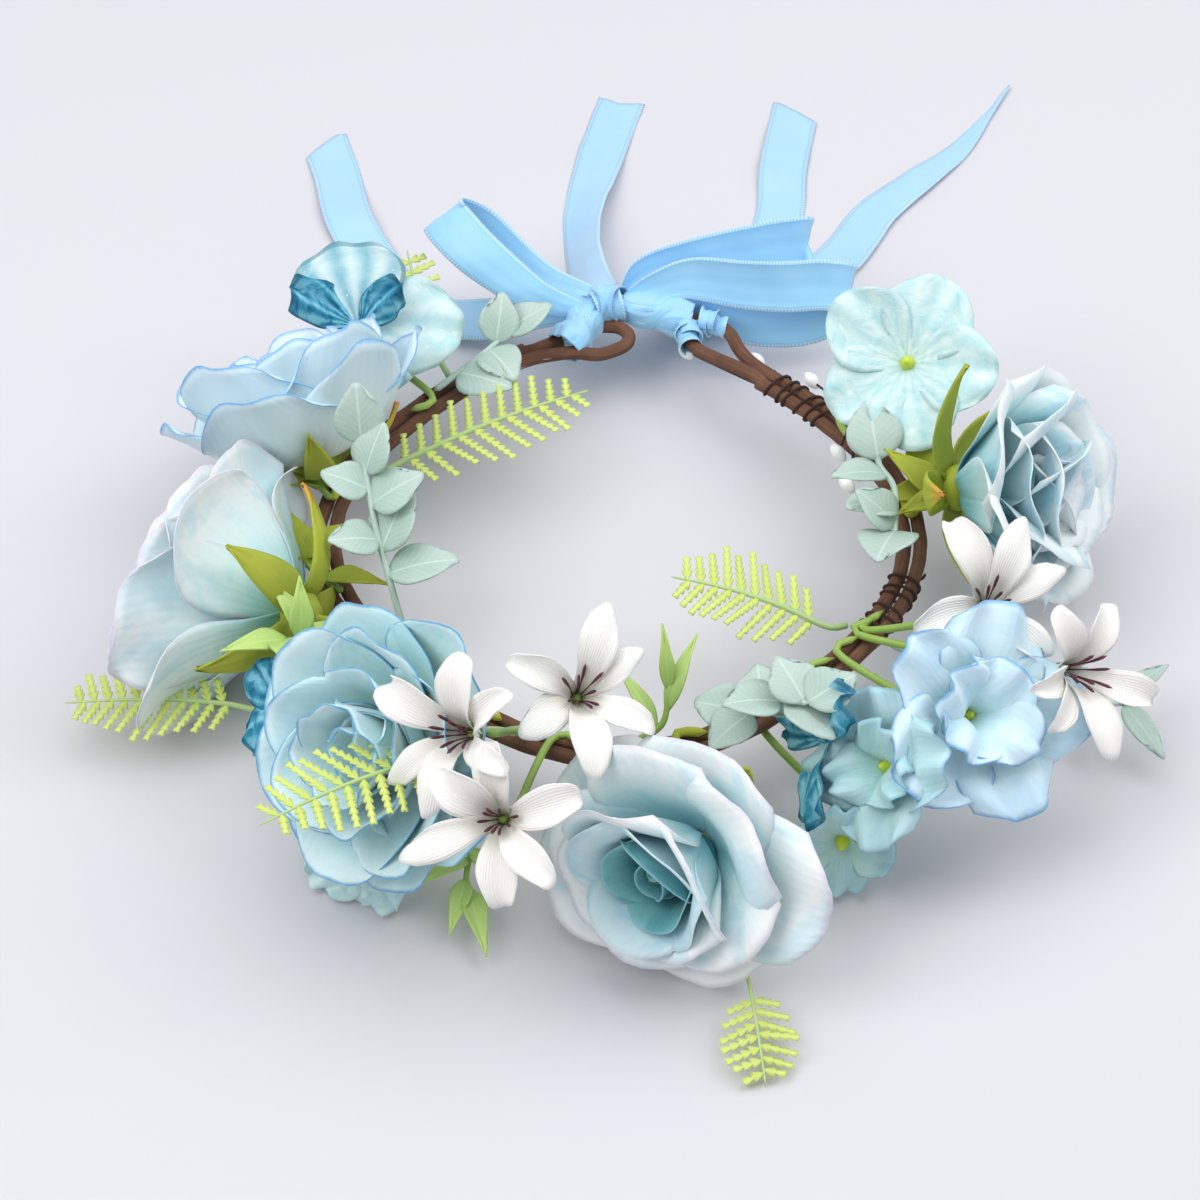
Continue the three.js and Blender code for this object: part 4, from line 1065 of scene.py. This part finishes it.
def finishes():
    return {
        "paper": bark_paper("wrapping_paper", "8a6048", "4c3024"),
        "wire": bark_paper("binding_wire_brown", "5a3a2c", "2f1d16"),
        "satin": satin("sky_satin", "8ccdf5", "a9dcfb"),
        # The same satin again, made lighter: painted light for the flat tails, which catch more light than the
        # loops.
        "tail": satin("sky_satin_tail_painted_lit", "a3d2f2", "b2dbf6"),
        "white": petal_cloth("rose_white", "8ed2da", "d8f0f0", "f6faf9", "e2cbe6", "86cfe2", 0.3, 0.04, 0.45),
        "fresh": petal_cloth("rose_fresh_aqua", "63c0d2", "bfe7ea", "f0f9f8", "f4f7f7", "7cc8e2", 0.45, 0.03,
                             0.6),
        "pale": petal_cloth("rose_pale_blue", "7cbcd2", "b9dfea", "d9eff2", "f1f8f8", "8cc8e0", 0.4, 0.03, 0.5),
        "teal": petal_cloth("rose_teal", "37858f", "5ba5aa", "86c5c6", "acd9da", "3f90a0", 0.5, 0.03, 0.5),
        "blue": petal_cloth("peony_blue", "f0faf4", "e6f6f7", "dbf0f8", "6fb0e8", "c8e6f6", 0.2, 0.03, 0.9),
        "ice": petal_cloth("peony_ice", "cdeeea", "d9f5f3", "e0f6f8", "62acd8", "b0e2ec", 0.3, 0.028, 0.95),
        "hydrangea": petal_cloth("hydrangea_blue", "d0edea", "daf1f3", "d6edf8", "6fb0e6", "aedaf0", 0.4, 0.045,
                                 0.9),
        "aqua": mottled_cloth("mottled_aqua", "e6f5f1", "c6e6e6", "9ed3dc", 5.0, 0.5, 0.1),
        "aqua_soft": petal_cloth("ruffle_aqua", "badcd4", "c3e3e1", "bfe1e6", "80bad2", "a4d3d6", 0.5, 0.04,
                                 0.7),
        "shell": mottled_cloth("beaded_shell", "dcece9", "abd2da", "70abbb", 3.5, 0.35, 0.2, 0.85, "3f8298"),
        "teal_curl": mottled_cloth("teal_crumple", "8fd0e0", "3f98b5", "1c5f80", 3.4, 1.0, 0.18, 0.0, "17516e"),
        "lily": petal_cloth("lily_cream", "e9ecdc", "f4f2ea", "faf8f3", "efece4", None, 0, 0.03, 0.3, 0.7),
        "wine": plain("stamen_wine", "5b2636", 0.5),
        "olive": moulded_leaf("calyx_olive_cloth", "b2b83c", "8b9a30", "9aa63a", 0.75, 0.25),
        "olive_tipped": moulded_leaf("calyx_tipped", "b8bf3a", "98a62c", "a4b034", 0.75, 0.2, tip="e88a4a"),
        "lime": moulded_leaf("fern_lime_plastic", "d9e77e", "cadb6e", "bccf76", 0.45, 0.3),
        "rib": moulded_leaf("pale_rib", "bcd487", "a9c58a", "a9c58a", 0.45, 0.1),
        "sage": moulded_leaf("sage_leaf_plastic", "adc6ba", "91b0a1", "c9dbd0", 0.6, 0.75, 0.35),
        "leaf": moulded_leaf("lime_leaf_plastic", "c2db7c", "9dc068", "cfe39a", 0.45, 0.45),
        "stem": moulded_leaf("stem_green", "9dbb5a", "7fa04a", "9dbb5a", 0.5, 0.0),
        "pip": moulded_leaf("pip_white_plastic", "ffffff", "f1f0ee", "ffffff", 0.35, 0.0),
        "button": moulded_leaf("button_lime", "d4e044", "b9c832", "d4e044", 0.6, 0.0),
    }


camera()
studio()
F = finishes()
make_hoop(F["paper"], F["wire"])
make_ribbon(F["satin"], F["tail"])
ROSES = [
    ("rose_left", ("white", "white", "pale"), -6, 12, 1.24, 0.86, 0.0, 7, 1.2),
    ("rose_front", ("white", "pale", "teal"), 6, 30, 0.97, 0.84, 15, 5, 1.0),
    ("rose_right", ("fresh", "white", "teal"), -18, 55, 1.1, 1.0, 6, 5, 1.3),
]
for rose, cloths, *made in ROSES:
    make_rose(rose, *(F[cloth] for cloth in cloths), F["olive"], F["olive_tipped"], *made)
make_peony("peony_back_left", F["blue"], F["olive"], F["olive_tipped"], 18, BACK_PEONY)
make_peony("peony_front_left", F["ice"], F["olive"], F["olive"], 40, FRONT_PEONY)
for lily_name in LILIES:
    make_lily(lily_name, F["lily"], F["stem"], F["wine"])
make_floret("floret_aqua_right", "aqua", 5, 20, rise=(24, 12, 4, -4), ruffle=1.0)
make_floret("floret_shell", "shell", 1, 190, "teal_curl", rise=(30, 14, -4, -24), width=36, length=27,
            cup=(20, -16, -34, -34), lift=5, more=[
                ("teal_curl", 1, 238, dict(width=16, length=25, ruffle=3.5, roll=5.0, rise=(20, 30, 30, 0))),
                ("teal_curl", 1, 118, dict(width=15, length=23, ruffle=3.5, roll=5.0, rise=(50, 60, 40, 0))),
                ("aqua", 1, 92, dict(width=34, length=36, rise=(16, 8, 0, -8), ruffle=1.6)),
                ("aqua", 2, 40, dict(width=26, length=26, rise=(10, 6, 0, -8), ruffle=1.6))])
make_floret("floret_blue", "hydrangea", 5, slot="petal_blue", length=37, rise=(40, 30, 18, 0), ruffle=2.6,
            cup=(50, 40, 26, 12), roll=3.0, more=[
                ("hydrangea", 4, 30, dict(length=28, width=28, rise=(74, 66, 44, 10), ruffle=3.2, roll=4.0))])
make_floret("floret_ruffled", "aqua_soft", 4, 30, rise=(46, 32, 16, 0), ruffle=3.0, roll=3.0,
            more=[("aqua_soft", 3, 80, dict(length=20, width=20, rise=(74, 60, 40, 10)))])
make_floret("floret_teal", "teal_curl", 3, 175, "teal_curl", "petal_teal", rise=(34, 20, 0, -30), length=27,
            width=17, ruffle=3.0, roll=4.0)
make_floret("floret_aqua_low", "aqua_soft", 4, rise=(40, 30, 20, 6), ruffle=2.0)
make_floret("floret_teal_left", "teal_curl", 3, 0, "teal_curl", "petal_teal", rise=(40, 34, 26, 16), ruffle=1.6)
make_floret("floret_aqua_left", "aqua", 4, 45, rise=(30, 24, 16, 6), ruffle=2.0)
for frond in FRONDS:
    make_fern(frond, F["lime"], F["rib"])
make_spray("eucalyptus_left", "eucalyptus_left_body", "sage_leaf", F["sage"], F["sage"])
for spray in ("eucalyptus_front", "eucalyptus_right", "eucalyptus_back_left", "eucalyptus_tip_right"):
    make_spray(spray, "crown", "sage_leaf", F["sage"], F["sage"])
for spray in ("leaf_sprig_left", "leaf_sprig_inner", "leaf_sprig_low"):
    make_spray(spray, "crown", "leaf_lime", F["leaf"], F["stem"], True)
for spray in ("leaf_sprig_back", "leaf_sprig_mid", "leaf_sprig_right"):
    make_spray(spray, "crown", "leaf_lime", F["olive"], F["stem"], True)
make_berries(F["pip"], F["wire"])
dress_wires()
